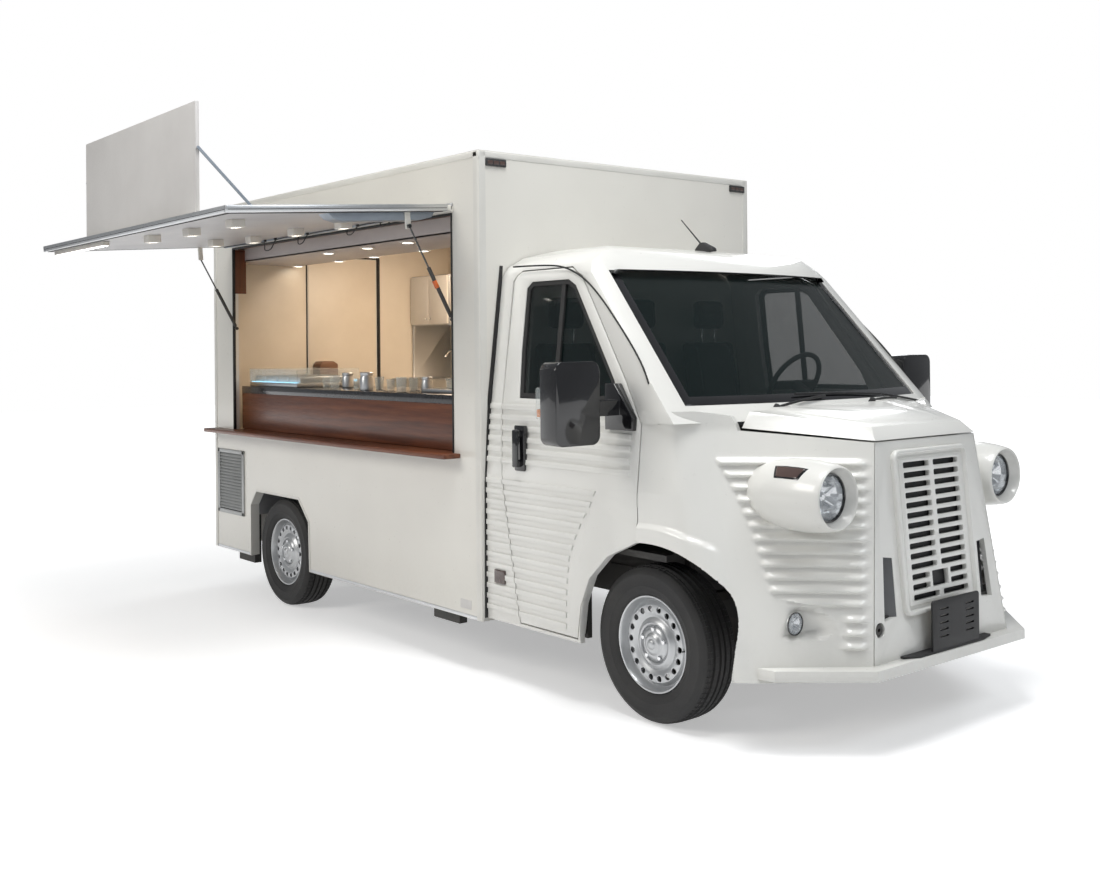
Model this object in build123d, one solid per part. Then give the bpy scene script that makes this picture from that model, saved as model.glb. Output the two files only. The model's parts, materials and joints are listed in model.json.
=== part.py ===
from build123d import *
import math
import os

# Food truck on a light van chassis: retro ribbed cab, box body with a serving hatch on the kerb side.
# Vehicle frame while modelling: X forward from the front axle, Y to the left, Z up from the ground,
# all in millimetres. The whole truck is moved to its own middle at the end, on the ground.

os.makedirs("parts", exist_ok=True)

# Clearances
SHUT_GAP = 7.0
SEAT_GAP = 0.3
PIN_GAP = 0.3

# Chassis and wheels
WHEELBASE = 3450.0
FRONT_TYRE_Y = 855.0
REAR_TYRE_Y = 925.0
TYRE_R = 358.0
TYRE_W = 220.0
RIM_R = 203.0
RIM_FLANGE_R = 220.0
RIM_W = 176.0
WHEEL_BORE_R = 40.0
KINGPIN_Y = 775.0
RAIL_Y = 400.0
RAIL_W = 70.0
RAIL_H = 150.0
RAIL_TOP = 560.0
RAIL_FRONT_X = 820.0
HUB_OUT = 57.0
HUB_IN = -15.0
RIM_HOLES = 18
RIM_HOLE_PCR = 158.0
RIM_HOLE_R = 14.0
SPRING_Y = 467.0
SPRING_HALF = 600.0
KNUCKLE_LOW_Z = 245.0
KNUCKLE_HIGH_Z = 480.0

# Cab
CAB_HALF_W = 1020.0
CAB_SILL_Z = 300.0
CAB_REAR_X = -1150.0
CAB_WAIST_Z = 1060.0
CAB_BELT_Z = 1430.0
CAB_BELT_HALF_W = 985.0
CAB_RAIL_Z = 2085.0
CAB_RAIL_HALF_W = 905.0
CAB_ROOF_Z = 2250.0
CAB_SKIN = 30.0
DOOR_SKIN = 60.0
WINDSCREEN_BASE_X = 320.0
WINDSCREEN_BASE_Z = 1420.0
WINDSCREEN_TOP_X = -330.0
WINDSCREEN_TOP_Z = 2120.0
WINDSCREEN_BOW_R = 4200.0
GLASS_T = 6.0
DOOR_FRONT_X = -5.0
ARCH_X = 45.0
ARCH_R = 455.0
CAB_FLOOR_Z = 775.0
CAB_FLOOR_T = 30.0
COWL_Z = 1366.0
DRIVER_Y = 550.0
SIDE_REACH = CAB_HALF_W + 80
DOOR_IN_Y = CAB_RAIL_HALF_W - 125
HINGE_R = 4.5
DOOR_HINGE_Z = [(850, 910), (990, 1050)]

# Ribs pressed in the cab's sides and cheeks
RIB_PITCH = 55.0
RIB_H = 26.0
RIB_OUT = 7.0
RIB_FIRST_Z = 352.0
RIB_COUNT = 19

# Nose
NOSE_TOP_Z = 1345.0
NOSE_SKIN = 25.0
NOSE_CORNER_X = 815.0
NOSE_CORNER_Y = 380.0
NOSE_FOOT_X = 905.0
NOSE_FOOT_Y = 530.0
GRILLE_HALF_W = 285.0
GRILLE_LOW_Z = 530.0
GRILLE_HIGH_Z = 1250.0
GRILLE_FRAME = 30.0
GRILLE_ROWS = 14
BUMPER_LOW_Z = 316.0
BUMPER_HIGH_Z = 362.0
BUMPER_TIP_X = 960.0
BUMPER_BEND_Y = 575.0
POD_Y = 650.0
POD_Z = 1070.0
POD_R = 140.0
POD_FRONT_X = 830.0
LENS_R = 102.0
LENS_SET = 32.0
LENS_DEPTH = 60.0
LENS_BOW_R = 330.0
POD_LIP = 16.0
BONNET_REAR_X = 334.0
BONNET_FRONT_X = 823.0
BONNET_REAR_HALF_W = 691.0
BONNET_FRONT_HALF_W = 386.0
BONNET_LOW_REAR_Z = 1345.0
BONNET_LOW_FRONT_Z = 1296.0
BONNET_TOP_REAR_Z = 1418.0
BONNET_TOP_FRONT_Z = 1352.0
BONNET_SKIN = 22.0
BONNET_AXIS_Z = 1430.0
BONNET_HINGE_Y = (300.0, 360.0)
FOG_X = 645.0
FOG_Y = 742.0
FOG_Z = 534.0
FOG_R = 52.0
TOW_Y = -455.0
TOW_Z = 500.0
TOW_SOCKET_R = 24.0
TOW_HOLE_R = 9.0
TOW_HOLE_L = 60.0

# Box body
BOX_FRONT_X = -1160.0
BOX_OVERHANG = 1040.0
BOX_REAR_X = -WHEELBASE - BOX_OVERHANG
BOX_HALF_W = 1050.0
BOX_REACH = BOX_HALF_W + 150
BOX_SKIRT_Z = 280.0
BOX_TOP_Z = 2757.0
BOX_WALL = 40.0
FLOOR_TOP_Z = 640.0
FLOOR_T = 80.0
REAR_ARCH_FRONT = 400.0
REAR_ARCH_REAR = 450.0
REAR_ARCH_TOP_Z = 735.0
WHEEL_BOX_TOP_Z = 800.0
OPENING_REAR_X = BOX_REAR_X + 325
OPENING_FRONT_X = BOX_FRONT_X - 245
OPENING_LOW_Z = 1140.0
OPENING_HIGH_Z = 2445.0
SHELF_OUT = 110.0
SHELF_T = 26.0
SHELF_TOP_Z = 1150.0
COUNTER_Z = 1440.0
COUNTER_DEPTH = 530.0
COUNTER_FRONT_Y = -BOX_HALF_W + 100
COUNTER_BACK_Y = COUNTER_FRONT_Y + COUNTER_DEPTH
REAR_DOOR_HALF_W = 310.0
REAR_DOOR_TOP_Z = 2430.0
REAR_HINGE_Z = [(800, 880), (1480, 1560), (2180, 2260)]
VENT_X = (BOX_REAR_X + 78, BOX_REAR_X + 476)
VENT_Z = (556.0, 986.0)
VENT_SLATS = 16
LAMP_OUT = 30.0
HITCH_SPACING_Y = 220.0
HITCH_SPACING_Z = 60.0
HITCH_HOLE_R = 6.5

# Serving hatch, sign and struts
HATCH_T = 30.0
HATCH_AXIS_Y = -BOX_HALF_W - 12
HATCH_AXIS_Z = 2458.0
HATCH_LOW_Z = 1166.0
HATCH_END_LAP = 12.0
HATCH_OPEN_DEG = 86.0
HATCH_PIN_R = 6.0
SIGN_Y = HATCH_AXIS_Y - 1218
SIGN_T = 20.0
SIGN_H = 565.0
SIGN_FRONT_X = OPENING_FRONT_X - 455
SIGN_REAR_X = OPENING_REAR_X + 665
SIGN_LIFT = 9.0
STAY_PIN_UP = 330.0
STAY_FOOT_Y = HATCH_AXIS_Y - 913
STAY_W = 14.0
STAY_T = 8.0
STAY_LIFT = 13.0
STRUT_SET_IN = 26.0
STRUT_FOOT_Y = -BOX_HALF_W + 15
STRUT_FOOT_Z = 1870.0
STRUT_HEAD_OUT = 250.0
STRUT_HEAD_IN = 78.0
STRUT_TUBE_R = 11.0
STRUT_BORE_R = 5.4
STRUT_ROD_R = 5.0
STRUT_EYE_T = 14.0
STRUT_EYE_R = 11.0
STRUT_TUBE_L = 316.0
STRUT_ROD_L = 264.0
STRUT_LUG_T = 10.0

# Mirrors
MIRROR_OUT_Y = CAB_HALF_W + 400
MIRROR_IN_Y = MIRROR_OUT_Y - 260


def block(x, y, z):
    "Box between (low, high) pairs."
    size = [max(pair) - min(pair) for pair in (x, y, z)]
    middle = [(pair[0] + pair[1]) / 2 for pair in (x, y, z)]
    return Pos(*middle) * Box(*size)


def side_prism(points, y0, y1):
    "Outline of (x, z) points, drawn out along Y from y0 to y1."
    plane = Plane(origin=(0, y1, 0), x_dir=(1, 0, 0), z_dir=(0, -1, 0))
    return extrude(plane * make_face(Polyline(*points, close=True)), y1 - y0)


def cross_prism(points, x0, x1):
    "Outline of (y, z) points, drawn out along X from x0 to x1."
    plane = Plane(origin=(x0, 0, 0), x_dir=(0, 1, 0), z_dir=(1, 0, 0))
    return extrude(plane * make_face(Polyline(*points, close=True)), x1 - x0)


def plan_prism(points, z0, z1):
    "Outline of (x, y) points, drawn out along Z from z0 to z1."
    return extrude(Plane.XY.offset(z0) * make_face(Polyline(*points, close=True)), z1 - z0)


def rod(start, end, radius):
    "Round bar between two points."
    start = Vector(*start)
    end = Vector(*end)
    plane = Plane(origin=start, z_dir=end - start)
    return extrude(plane * Circle(radius), (end - start).length)


def flip(shape):
    "Mirror image across the middle of the truck."
    return mirror(shape, about=Plane.XZ)


def both_sides(shape):
    "A shape and its mirror image, as a list."
    return [shape, flip(shape)]


def biggest(shape):
    "The largest solid of a shape."
    return max(shape.solids(), key=lambda solid: solid.volume)


def hinge_post(x, y, z):
    "Upright hinge pins at the named heights."
    return [rod((x, y, low), (x, y, high), HINGE_R) for low, high in z]


def hinge_notch(x, y, z):
    "Running clearance around upright hinge pins."
    return [rod((x, y, low - 3), (x, y, high + 3), HINGE_R + PIN_GAP) for low, high in z]


def case(x, y, z, wall):
    "Hollow unit, open below."
    inner = block((x[0] + wall, x[1] - wall), (y[0] + wall, y[1] - wall), (z[0] - 1, z[1] - wall))
    return block(x, y, z) - inner


def doubled(half):
    "Half outline of (y, z) points from the middle outwards, closed by its mirror image."
    return half + [(-y, z) for y, z in reversed(half) if y > 0]


# Cab

def cab_half_section(grow):
    "Half section of the cab, from the roof's middle to the sill; grow is outwards."
    return [
        (0, CAB_ROOF_Z + grow),
        (560, CAB_ROOF_Z - 10 + grow),
        (760, CAB_ROOF_Z - 55 + grow),
        (865 + grow, CAB_RAIL_Z + 55),
        (CAB_RAIL_HALF_W + grow, CAB_RAIL_Z),
        (CAB_BELT_HALF_W + grow, CAB_BELT_Z),
        (CAB_HALF_W + grow, CAB_WAIST_Z),
        (CAB_HALF_W + grow, CAB_SILL_Z - max(grow, 0)),
        (0, CAB_SILL_Z - max(grow, 0)),
    ]


def cab_envelope(grow, front_x=WINDSCREEN_BASE_X - 215):
    "The cab's outer form, grown or shrunk by a skin."
    slope = math.atan2(WINDSCREEN_TOP_Z - WINDSCREEN_BASE_Z, WINDSCREEN_BASE_X - WINDSCREEN_TOP_X)
    shift_x = grow / math.sin(slope)
    low = CAB_SILL_Z - max(grow, 0)
    side = [
        (CAB_REAR_X - max(grow, 0), low),
        (CAB_REAR_X - max(grow, 0), CAB_ROOF_Z - 12 + grow),
        (-760, CAB_ROOF_Z + grow),
        (-520 + grow * 0.3, CAB_ROOF_Z - 40 + grow),
        (WINDSCREEN_TOP_X + shift_x, WINDSCREEN_TOP_Z),
        (WINDSCREEN_BASE_X + shift_x, WINDSCREEN_BASE_Z),
        (WINDSCREEN_BASE_X + shift_x, CAB_BELT_Z - 60),
        (front_x, CAB_BELT_Z - 60),
        (front_x, low),
    ]
    body = side_prism(side, -SIDE_REACH, SIDE_REACH) & cross_prism(doubled(cab_half_section(grow)), -1200, 500)
    middle = Vector(WINDSCREEN_BASE_X + shift_x, 0, WINDSCREEN_BASE_Z)
    along = Vector(-math.cos(slope), 0, math.sin(slope))
    inward = Vector(-math.sin(slope), 0, -math.cos(slope))
    bow = Plane(origin=middle + inward * WINDSCREEN_BOW_R - along * 2500, z_dir=along)
    return body & extrude(bow * Circle(WINDSCREEN_BOW_R), 6500)


def rib_slabs(x0, x1, y0, y1, rows):
    "Flat slabs at the rib heights of the named rows."
    slabs = [block((x0, x1), (y0, y1), (RIB_FIRST_Z + RIB_PITCH * k, RIB_FIRST_Z + RIB_PITCH * k + RIB_H))
             for k in rows]
    return Part() + slabs


def arch(y0, y1, radius=ARCH_R):
    return rod((ARCH_X, y0, TYRE_R), (ARCH_X, y1, TYRE_R), radius)


DOOR_LOW_Z = CAB_SILL_Z + 22
DOOR_OUTLINE = [
    (DOOR_FRONT_X, 1275), (DOOR_FRONT_X, 830), (-210, 740), (-340, 620), (-405, 480), (-430, DOOR_LOW_Z),
    (-870, DOOR_LOW_Z), (-1015, 1060), (-1050, 1430), (-1040, 2060), (-1000, 2110), (-600, 2110),
    (-500, 2060), (-130, 1560), (DOOR_FRONT_X, 1360)]
WINDOW_OUTLINE = [
    (-915, 1455), (-930, 1700), (-930, 2020), (-890, 2052), (-600, 2052), (-540, 2020), (-205, 1560), (-160, 1455)]


def outline_prism(points, y0, y1, grow=0.0):
    "Like side_prism, with the outline moved outwards by grow."
    face = make_face(Polyline(*points, close=True))
    if grow:
        face = offset(face, amount=grow, kind=Kind.INTERSECTION)
    plane = Plane(origin=(0, y1, 0), x_dir=(1, 0, 0), z_dir=(0, -1, 0))
    return extrude(plane * face, y1 - y0)


UPPER_RIBS = range(14, RIB_COUNT + 1)
LOWER_RIBS = range(0, 13)
cab_outer = cab_envelope(0)
cab_grown = cab_envelope(RIB_OUT)
rib_zone_upper = rib_slabs(CAB_REAR_X, -60, -SIDE_REACH, SIDE_REACH, UPPER_RIBS)
rib_zone_lower = rib_slabs(CAB_REAR_X, 0, -SIDE_REACH, SIDE_REACH, LOWER_RIBS)
fade = side_prism([(-60, 1100), (-285, 1040), (-330, 955), (-383, 890), (-435, 800), (-480, 700), (-500, 560),
                   (-507, 440), (-507, 250), (60, 250), (60, 1100)], -SIDE_REACH, SIDE_REACH)
RIB_IN_Y = CAB_BELT_HALF_W - 35
ribs = (cab_grown & (rib_zone_upper + (rib_zone_lower - fade))) - block((-1200, 500), (-RIB_IN_Y, RIB_IN_Y), (0, 3000))
cab_ribbed = cab_outer + ribs

door_hole = [(x - 5 if x < -1030 and z > 2000 else x, z) for x, z in DOOR_OUTLINE]
door_opening = [outline_prism(door_hole, y0, y1, SHUT_GAP)
                for y0, y1 in ((-SIDE_REACH, -DOOR_IN_Y), (DOOR_IN_Y, SIDE_REACH))]
windscreen_zone = cross_prism([(-880, 1445), (-812, 2090), (812, 2090), (880, 1445)], -420, 600)

CAB_UNDER_Y = CAB_HALF_W - 65
cab_shell = cab_ribbed - cab_envelope(-CAB_SKIN)
cab_shell = cab_shell - door_opening - windscreen_zone - arch(-SIDE_REACH, SIDE_REACH)
cab_shell = cab_shell - block((-1200, 600), (-CAB_UNDER_Y, CAB_UNDER_Y), (0, CAB_FLOOR_Z - CAB_FLOOR_T))
cab_shell = cab_shell - block((DOOR_FRONT_X + SHUT_GAP - SEAT_GAP, 600), (-SIDE_REACH, SIDE_REACH), (0, COWL_Z))
cab_shell = biggest(cab_shell)
bonnet_leaf = block((285, BONNET_REAR_X), BONNET_HINGE_Y, (BONNET_AXIS_Z - 25, BONNET_AXIS_Z))
bonnet_leaf = bonnet_leaf + rod((BONNET_REAR_X, BONNET_HINGE_Y[0], BONNET_AXIS_Z),
                                (BONNET_REAR_X, BONNET_HINGE_Y[1], BONNET_AXIS_Z), HINGE_R)
cab_shell = cab_shell + both_sides(bonnet_leaf - windscreen_zone)

door_outer = (cab_ribbed - cab_envelope(-CAB_SKIN)) & outline_prism(DOOR_OUTLINE, -SIDE_REACH, -DOOR_IN_Y)
door_inner = cab_envelope(-CAB_SKIN) - cab_envelope(-DOOR_SKIN)
door_inner = door_inner & outline_prism(DOOR_OUTLINE, -SIDE_REACH, -DOOR_IN_Y, -10)
door_right = (door_outer + door_inner) - outline_prism(WINDOW_OUTLINE, -SIDE_REACH, -DOOR_IN_Y + 80)
door_right = biggest(door_right - hinge_notch(DOOR_FRONT_X, -CAB_HALF_W, DOOR_HINGE_Z))
glass_right = cab_envelope(-18) - cab_envelope(-18 - GLASS_T)
glass_right = biggest(glass_right & outline_prism(WINDOW_OUTLINE, -SIDE_REACH, -DOOR_IN_Y))
windscreen = (cab_envelope(-8) - cab_envelope(-8 - GLASS_T)) & windscreen_zone
windscreen = biggest(windscreen & block((-600, 600), (-SIDE_REACH, SIDE_REACH), (CAB_BELT_Z - 130, CAB_ROOF_Z - 50)))

mirror_head = block((-200, -90), (-MIRROR_OUT_Y, -MIRROR_IN_Y), (1275, 1650))
mirror_head = fillet(mirror_head.edges().filter_by(Axis.X), 45)
mirror_arm = block((-190, -110), (-MIRROR_IN_Y, -CAB_BELT_HALF_W + 10), (1400, 1470))
MIRROR_FOOT = [(-30, 1330), (-30, 1390), (-150, 1545), (-215, 1545), (-215, 1330)]
mirror_foot = side_prism(MIRROR_FOOT, -CAB_HALF_W - 2, -CAB_BELT_HALF_W + 13)
mirror_right = biggest((mirror_head + mirror_arm + mirror_foot) - door_right - glass_right)

# Nose

NOSE_PLAN_LOW = [(0, CAB_HALF_W), (350, CAB_HALF_W), (505, CAB_HALF_W - 10), (640, 870), (NOSE_FOOT_X, NOSE_FOOT_Y)]
NOSE_PLAN_HIGH = [(0, 990), (150, 982), (205, 930), (330, 705), (NOSE_CORNER_X, NOSE_CORNER_Y)]
WAIST_SHARE = (CAB_WAIST_Z - CAB_SILL_Z) / (NOSE_TOP_Z - CAB_SILL_Z)
NOSE_PLAN_WAIST = [(x0 + (x1 - x0) * WAIST_SHARE, y0 + (y1 - y0) * WAIST_SHARE)
                   for (x0, y0), (x1, y1) in zip(NOSE_PLAN_LOW, NOSE_PLAN_HIGH)]
NOSE_PLAN_WAIST[0] = (0, CAB_HALF_W)
NOSE_PLAN_WAIST[1] = (205, CAB_HALF_W - 8)
BONNET_SLOPE = (BONNET_LOW_FRONT_Z - BONNET_LOW_REAR_Z) / (BONNET_FRONT_X - BONNET_REAR_X)


def nose_face(half, z, rear_x, grow):
    "Plan outline of the nose at one height, shrunk or grown sideways and forwards."
    points = [(rear_x, half[0][1] + grow), (half[1][0], half[1][1] + grow)]
    points = points + [(x + grow * 0.6, y + grow) for x, y in half[2:4]]
    points = points + [(half[4][0] + grow, half[4][1] + grow * 0.7)]
    points = points + [(x, -y) for x, y in reversed(points)]
    return Plane.XY.offset(z) * make_face(Polyline(*points, close=True))


def nose_envelope(grow, rear_x=SHUT_GAP + DOOR_FRONT_X):
    "The nose's outer form without its bonnet."
    low = nose_face(NOSE_PLAN_LOW, CAB_SILL_Z, rear_x, grow)
    waist = nose_face(NOSE_PLAN_WAIST, CAB_WAIST_Z, rear_x, grow)
    high = nose_face(NOSE_PLAN_HIGH, NOSE_TOP_Z, rear_x, grow)
    above = nose_face(NOSE_PLAN_HIGH, NOSE_TOP_Z + 100, rear_x, grow)
    top = [(-20, 200), (-20, 1424 + grow), (200, 1424 + grow), (345, 1350 + grow), (1000, 1284 + grow), (1000, 200)]
    return loft([low, waist, high, above], ruled=True) & side_prism(top, -SIDE_REACH, SIDE_REACH)


def front_share(z):
    return (NOSE_TOP_Z - z) / (NOSE_TOP_Z - CAB_SILL_Z)


def corner_y(z):
    "Half width of the nose's flat front at a height."
    return NOSE_CORNER_Y + (NOSE_FOOT_Y - NOSE_CORNER_Y) * front_share(z)


def front_x(z):
    "The nose's front at a height."
    return NOSE_CORNER_X + (NOSE_FOOT_X - NOSE_CORNER_X) * front_share(z)


def front_zone(low, high, grow):
    "Prism through the nose's flat front between two heights."
    half = [(corner_y(low) + grow, low), (corner_y(high) + grow, high)]
    return cross_prism(half + [(-y, z) for y, z in reversed(half)], 500, 1100)


nose_outer = nose_envelope(0)
nose_inner = nose_envelope(-NOSE_SKIN, rear_x=-10)
nose_ribs = nose_envelope(RIB_OUT) & rib_slabs(330, 900, -SIDE_REACH, SIDE_REACH, range(2, 17))
nose_ribs = nose_ribs - front_zone(200, 1400, 10)
nose_ribs = nose_ribs - side_prism([(0, 300), (600, 300), (560, 620), (400, 1330), (0, 1400)], -SIDE_REACH, SIDE_REACH)
nose_ribs = nose_ribs - block((0, 800), (-SIDE_REACH, SIDE_REACH), (0, RIB_FIRST_Z + 5 * RIB_PITCH - 10))
nose_solid = nose_outer + nose_ribs

fog_bore = rod((FOG_X - 70, -FOG_Y, FOG_Z), (1100, -FOG_Y, FOG_Z), FOG_R)
fog_bucket = rod((FOG_X - 75, -FOG_Y, FOG_Z), (1100, -FOG_Y, FOG_Z), FOG_R + 12) & nose_envelope(-5)
fog_right = rod((FOG_X - 70, -FOG_Y, FOG_Z), (FOG_X, -FOG_Y, FOG_Z), FOG_R)

nose_shell = (nose_solid - nose_inner) - arch(-SIDE_REACH, SIDE_REACH) - front_zone(250, 1400, -2)
nose_shell = nose_shell + both_sides(fog_bucket)
nose_shell = nose_shell - both_sides(fog_bore)
over_edge = side_prism([
    (BONNET_REAR_X - SHUT_GAP, BONNET_LOW_REAR_Z - SHUT_GAP),
    (1000, BONNET_LOW_REAR_Z - SHUT_GAP + BONNET_SLOPE * (1000 - BONNET_REAR_X + SHUT_GAP)),
    (1000, 1700), (BONNET_REAR_X - SHUT_GAP, 1700)], -SIDE_REACH, SIDE_REACH)
nose_shell = nose_shell - over_edge
cowl_zone = block((-600, 600), (-SIDE_REACH, SIDE_REACH), (COWL_Z - SEAT_GAP, 2000))
nose_shell = nose_shell - (cab_envelope(SEAT_GAP) & cowl_zone)
nose_shell = Part() + [solid for solid in nose_shell.solids() if solid.volume > 2e6]
door_leaves = [block((DOOR_FRONT_X, DOOR_FRONT_X + 20), (-CAB_HALF_W, -CAB_HALF_W + 8), z) for z in DOOR_HINGE_Z]
door_leaves = door_leaves + hinge_post(DOOR_FRONT_X, -CAB_HALF_W, DOOR_HINGE_Z)
nose_shell = nose_shell + door_leaves + [flip(leaf) for leaf in door_leaves]

nose_panel = (nose_outer - nose_inner) & front_zone(320, 1400, -8) - over_edge
nose_panel = nose_panel - block((500, 1100), (-GRILLE_HALF_W + 12, GRILLE_HALF_W - 12),
                                (GRILLE_LOW_Z + 12, GRILLE_HIGH_Z - 12))
nose_panel = nose_panel - both_sides(cross_prism([(-395, 800), (-330, 790), (-330, 540), (-420, 530)], 500, 1100))
nose_panel = biggest(nose_panel - rod((500, TOW_Y, TOW_Z), (1100, TOW_Y, TOW_Z), TOW_SOCKET_R + 8))

grille_mid_z = (GRILLE_LOW_Z + GRILLE_HIGH_Z) / 2
grille_lean = math.degrees(math.atan2(NOSE_FOOT_X - NOSE_CORNER_X, NOSE_TOP_Z - CAB_SILL_Z))
grille_half_h = (GRILLE_HIGH_Z - GRILLE_LOW_Z) / 2
grille_in_h = grille_half_h - GRILLE_FRAME
grille_in_w = GRILLE_HALF_W - GRILLE_FRAME
row_pitch = 2 * grille_in_h / GRILLE_ROWS
grille = block((0, 14), (-GRILLE_HALF_W, GRILLE_HALF_W), (-grille_half_h, grille_half_h))
grille = grille - block((-50, 50), (-grille_in_w, grille_in_w), (-grille_in_h, grille_in_h))
bars = [block((-8, 10), (-grille_in_w - 4, grille_in_w + 4),
              (-grille_in_h + row_pitch * k - 10, -grille_in_h + row_pitch * k + 10)) for k in range(1, GRILLE_ROWS)]
grille = grille + bars + block((-8, 10), (-9, 9), (-grille_in_h - 4, grille_in_h + 4))
grille = grille - block((-9, 11), (-95, 95), (-grille_in_h + row_pitch + 10, -grille_in_h + 3 * row_pitch - 10))
grille = Pos(front_x(grille_mid_z), 0, grille_mid_z) * Rot(0, -grille_lean, 0) * grille
grille = biggest(grille - (nose_outer - nose_inner))

POD_RINGS = [(490, 30), (450, 86), (400, 120), (340, 141), (270, 153), (200, 157), (130, 156), (70, 150), (30, 143), (0, 134)]
pod_rings = [Plane(origin=(POD_FRONT_X - back, -POD_Y, POD_Z), z_dir=(1, 0, 0)) * Circle(POD_R * radius / 140)
             for back, radius in POD_RINGS]
pod_blank = loft(pod_rings, ruled=True)
lens_hole = rod((POD_FRONT_X - LENS_DEPTH, -POD_Y, POD_Z), (POD_FRONT_X + 20, -POD_Y, POD_Z), LENS_R)
bezel_low = Plane(origin=(POD_FRONT_X - LENS_SET, -POD_Y, POD_Z), z_dir=(1, 0, 0))
bezel_high = Plane(origin=(POD_FRONT_X + 1, -POD_Y, POD_Z), z_dir=(1, 0, 0))
bezel = loft([bezel_low * Circle(LENS_R), bezel_high * Circle(POD_R - POD_LIP)], ruled=True)
pod_right = biggest(pod_blank - nose_solid - lens_hole - bezel)
lens_face_x = POD_FRONT_X - LENS_SET
lens_right = rod((POD_FRONT_X - LENS_DEPTH, -POD_Y, POD_Z), (lens_face_x, -POD_Y, POD_Z), LENS_R)
lens_right = lens_right & (Pos(lens_face_x - LENS_BOW_R, -POD_Y, POD_Z) * Sphere(LENS_BOW_R))
lens_right = biggest(lens_right - nose_solid)

bumper_half = [(600, 905), (678, 889), (BUMPER_TIP_X, BUMPER_BEND_Y)]
bumper = plan_prism(bumper_half + [(x, -y) for x, y in reversed(bumper_half)], BUMPER_LOW_Z, BUMPER_HIGH_Z)
bumper = biggest(bumper - nose_outer)
plate_bracket = block((930, 957), (-160, 205), (BUMPER_HIGH_Z, 590))


def bonnet_plane(x, rear_z, front_z, front):
    "Tilted plane across the bonnet through two heights, with its origin at x."
    return Plane(origin=(x, 0, rear_z), x_dir=(front - x, 0, front_z - rear_z), z_dir=(rear_z - front_z, 0, front - x))


def bonnet_quad(rear_x, front, rear_half, front_half, rear_z, front_z):
    "Four-cornered face across the bonnet, seen in plan as a trapezoid."
    length = math.hypot(front - rear_x, front_z - rear_z)
    points = [(0, rear_half), (length, front_half), (length, -front_half), (0, -rear_half)]
    return bonnet_plane(rear_x, rear_z, front_z, front) * make_face(Polyline(*points, close=True))


def bonnet_form(inset, drop, under):
    "The bonnet's body: lower outline, upper outline and a shallow raised middle."
    low = bonnet_quad(BONNET_REAR_X + inset, BONNET_FRONT_X - inset, BONNET_REAR_HALF_W - inset,
                      BONNET_FRONT_HALF_W - inset, BONNET_LOW_REAR_Z - under, BONNET_LOW_FRONT_Z - under)
    high = bonnet_quad(BONNET_REAR_X + inset, BONNET_FRONT_X - 48 - inset, BONNET_REAR_HALF_W - 52 - inset,
                       BONNET_FRONT_HALF_W - 42 - inset, BONNET_TOP_REAR_Z - drop, BONNET_TOP_FRONT_Z - drop)
    return loft([low, high], ruled=True)


raised_low = bonnet_quad(BONNET_REAR_X, 740, 520, 300, BONNET_TOP_REAR_Z - 3, BONNET_TOP_FRONT_Z + 2)
raised_high = bonnet_quad(BONNET_REAR_X, 715, 485, 270, BONNET_TOP_REAR_Z + 12, BONNET_TOP_FRONT_Z + 16)
bonnet = bonnet_form(0, 0, 0) + loft([raised_low, raised_high], ruled=True)
bonnet = bonnet - bonnet_form(BONNET_SKIN, BONNET_SKIN, 4)
bonnet_notch = rod((BONNET_REAR_X, BONNET_HINGE_Y[0] - 3, BONNET_AXIS_Z),
                   (BONNET_REAR_X, BONNET_HINGE_Y[1] + 3, BONNET_AXIS_Z), HINGE_R + PIN_GAP)
bonnet = biggest(bonnet - both_sides(bonnet_notch))

# Cab inside

CAB_FLOOR_Y = CAB_HALF_W - 70
cab_floor = block((-1120, 110), (-CAB_FLOOR_Y, CAB_FLOOR_Y), (CAB_FLOOR_Z - CAB_FLOOR_T, CAB_FLOOR_Z))
cab_floor = cab_floor + block((80, 110), (-880, 880), (CAB_FLOOR_Z - CAB_FLOOR_T, 1336))
cab_floor = cab_floor + both_sides(block((-1120, -430), (-CAB_FLOOR_Y - 3, -CAB_FLOOR_Y + 25), (310, CAB_FLOOR_Z)))
cab_floor = cab_floor + both_sides(block((-1100, 60), (-RAIL_Y - 30, -RAIL_Y + 30), (RAIL_TOP, CAB_FLOOR_Z)))
dashboard = side_prism([(-240, 1080), (-300, 1240), (-250, 1350), (-120, 1356), (80, 1340), (80, 1080)], -875, 875)
dashboard = dashboard + block((-290, -100), (DRIVER_Y - 210, DRIVER_Y + 130), (1330, 1400))
SEAT_SIDE = [(-480, CAB_FLOOR_Z), (-480, 1070), (-420, 1080), (-410, 1190), (-880, 1180), (-1000, 1780),
             (-1095, 1765), (-1010, 1150), (-960, CAB_FLOOR_Z)]
HEADREST_SIDE = [(-1010, 1740), (-985, 1850), (-1000, 2000), (-1075, 1995), (-1080, 1740)]
seats = []
for seat_y in (DRIVER_Y, -20.0, -565.0):
    seats.append(side_prism(SEAT_SIDE, seat_y - 240, seat_y + 240)
                 + side_prism(HEADREST_SIDE, seat_y - 125, seat_y + 125))
seats = Part() + seats
wheel_plane = Plane(origin=(-370, DRIVER_Y - 20, 1500), z_dir=(-0.86, 0, 0.5))
steering_wheel = wheel_plane * Torus(185, 14) + wheel_plane * (Pos(0, 0, -12) * Box(46, 350, 18))
steering_wheel = steering_wheel + rod((-362, DRIVER_Y - 20, 1495), (-180, DRIVER_Y - 20, 1390), 30)
steering_wheel = biggest(steering_wheel - dashboard)

# Chassis

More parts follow.
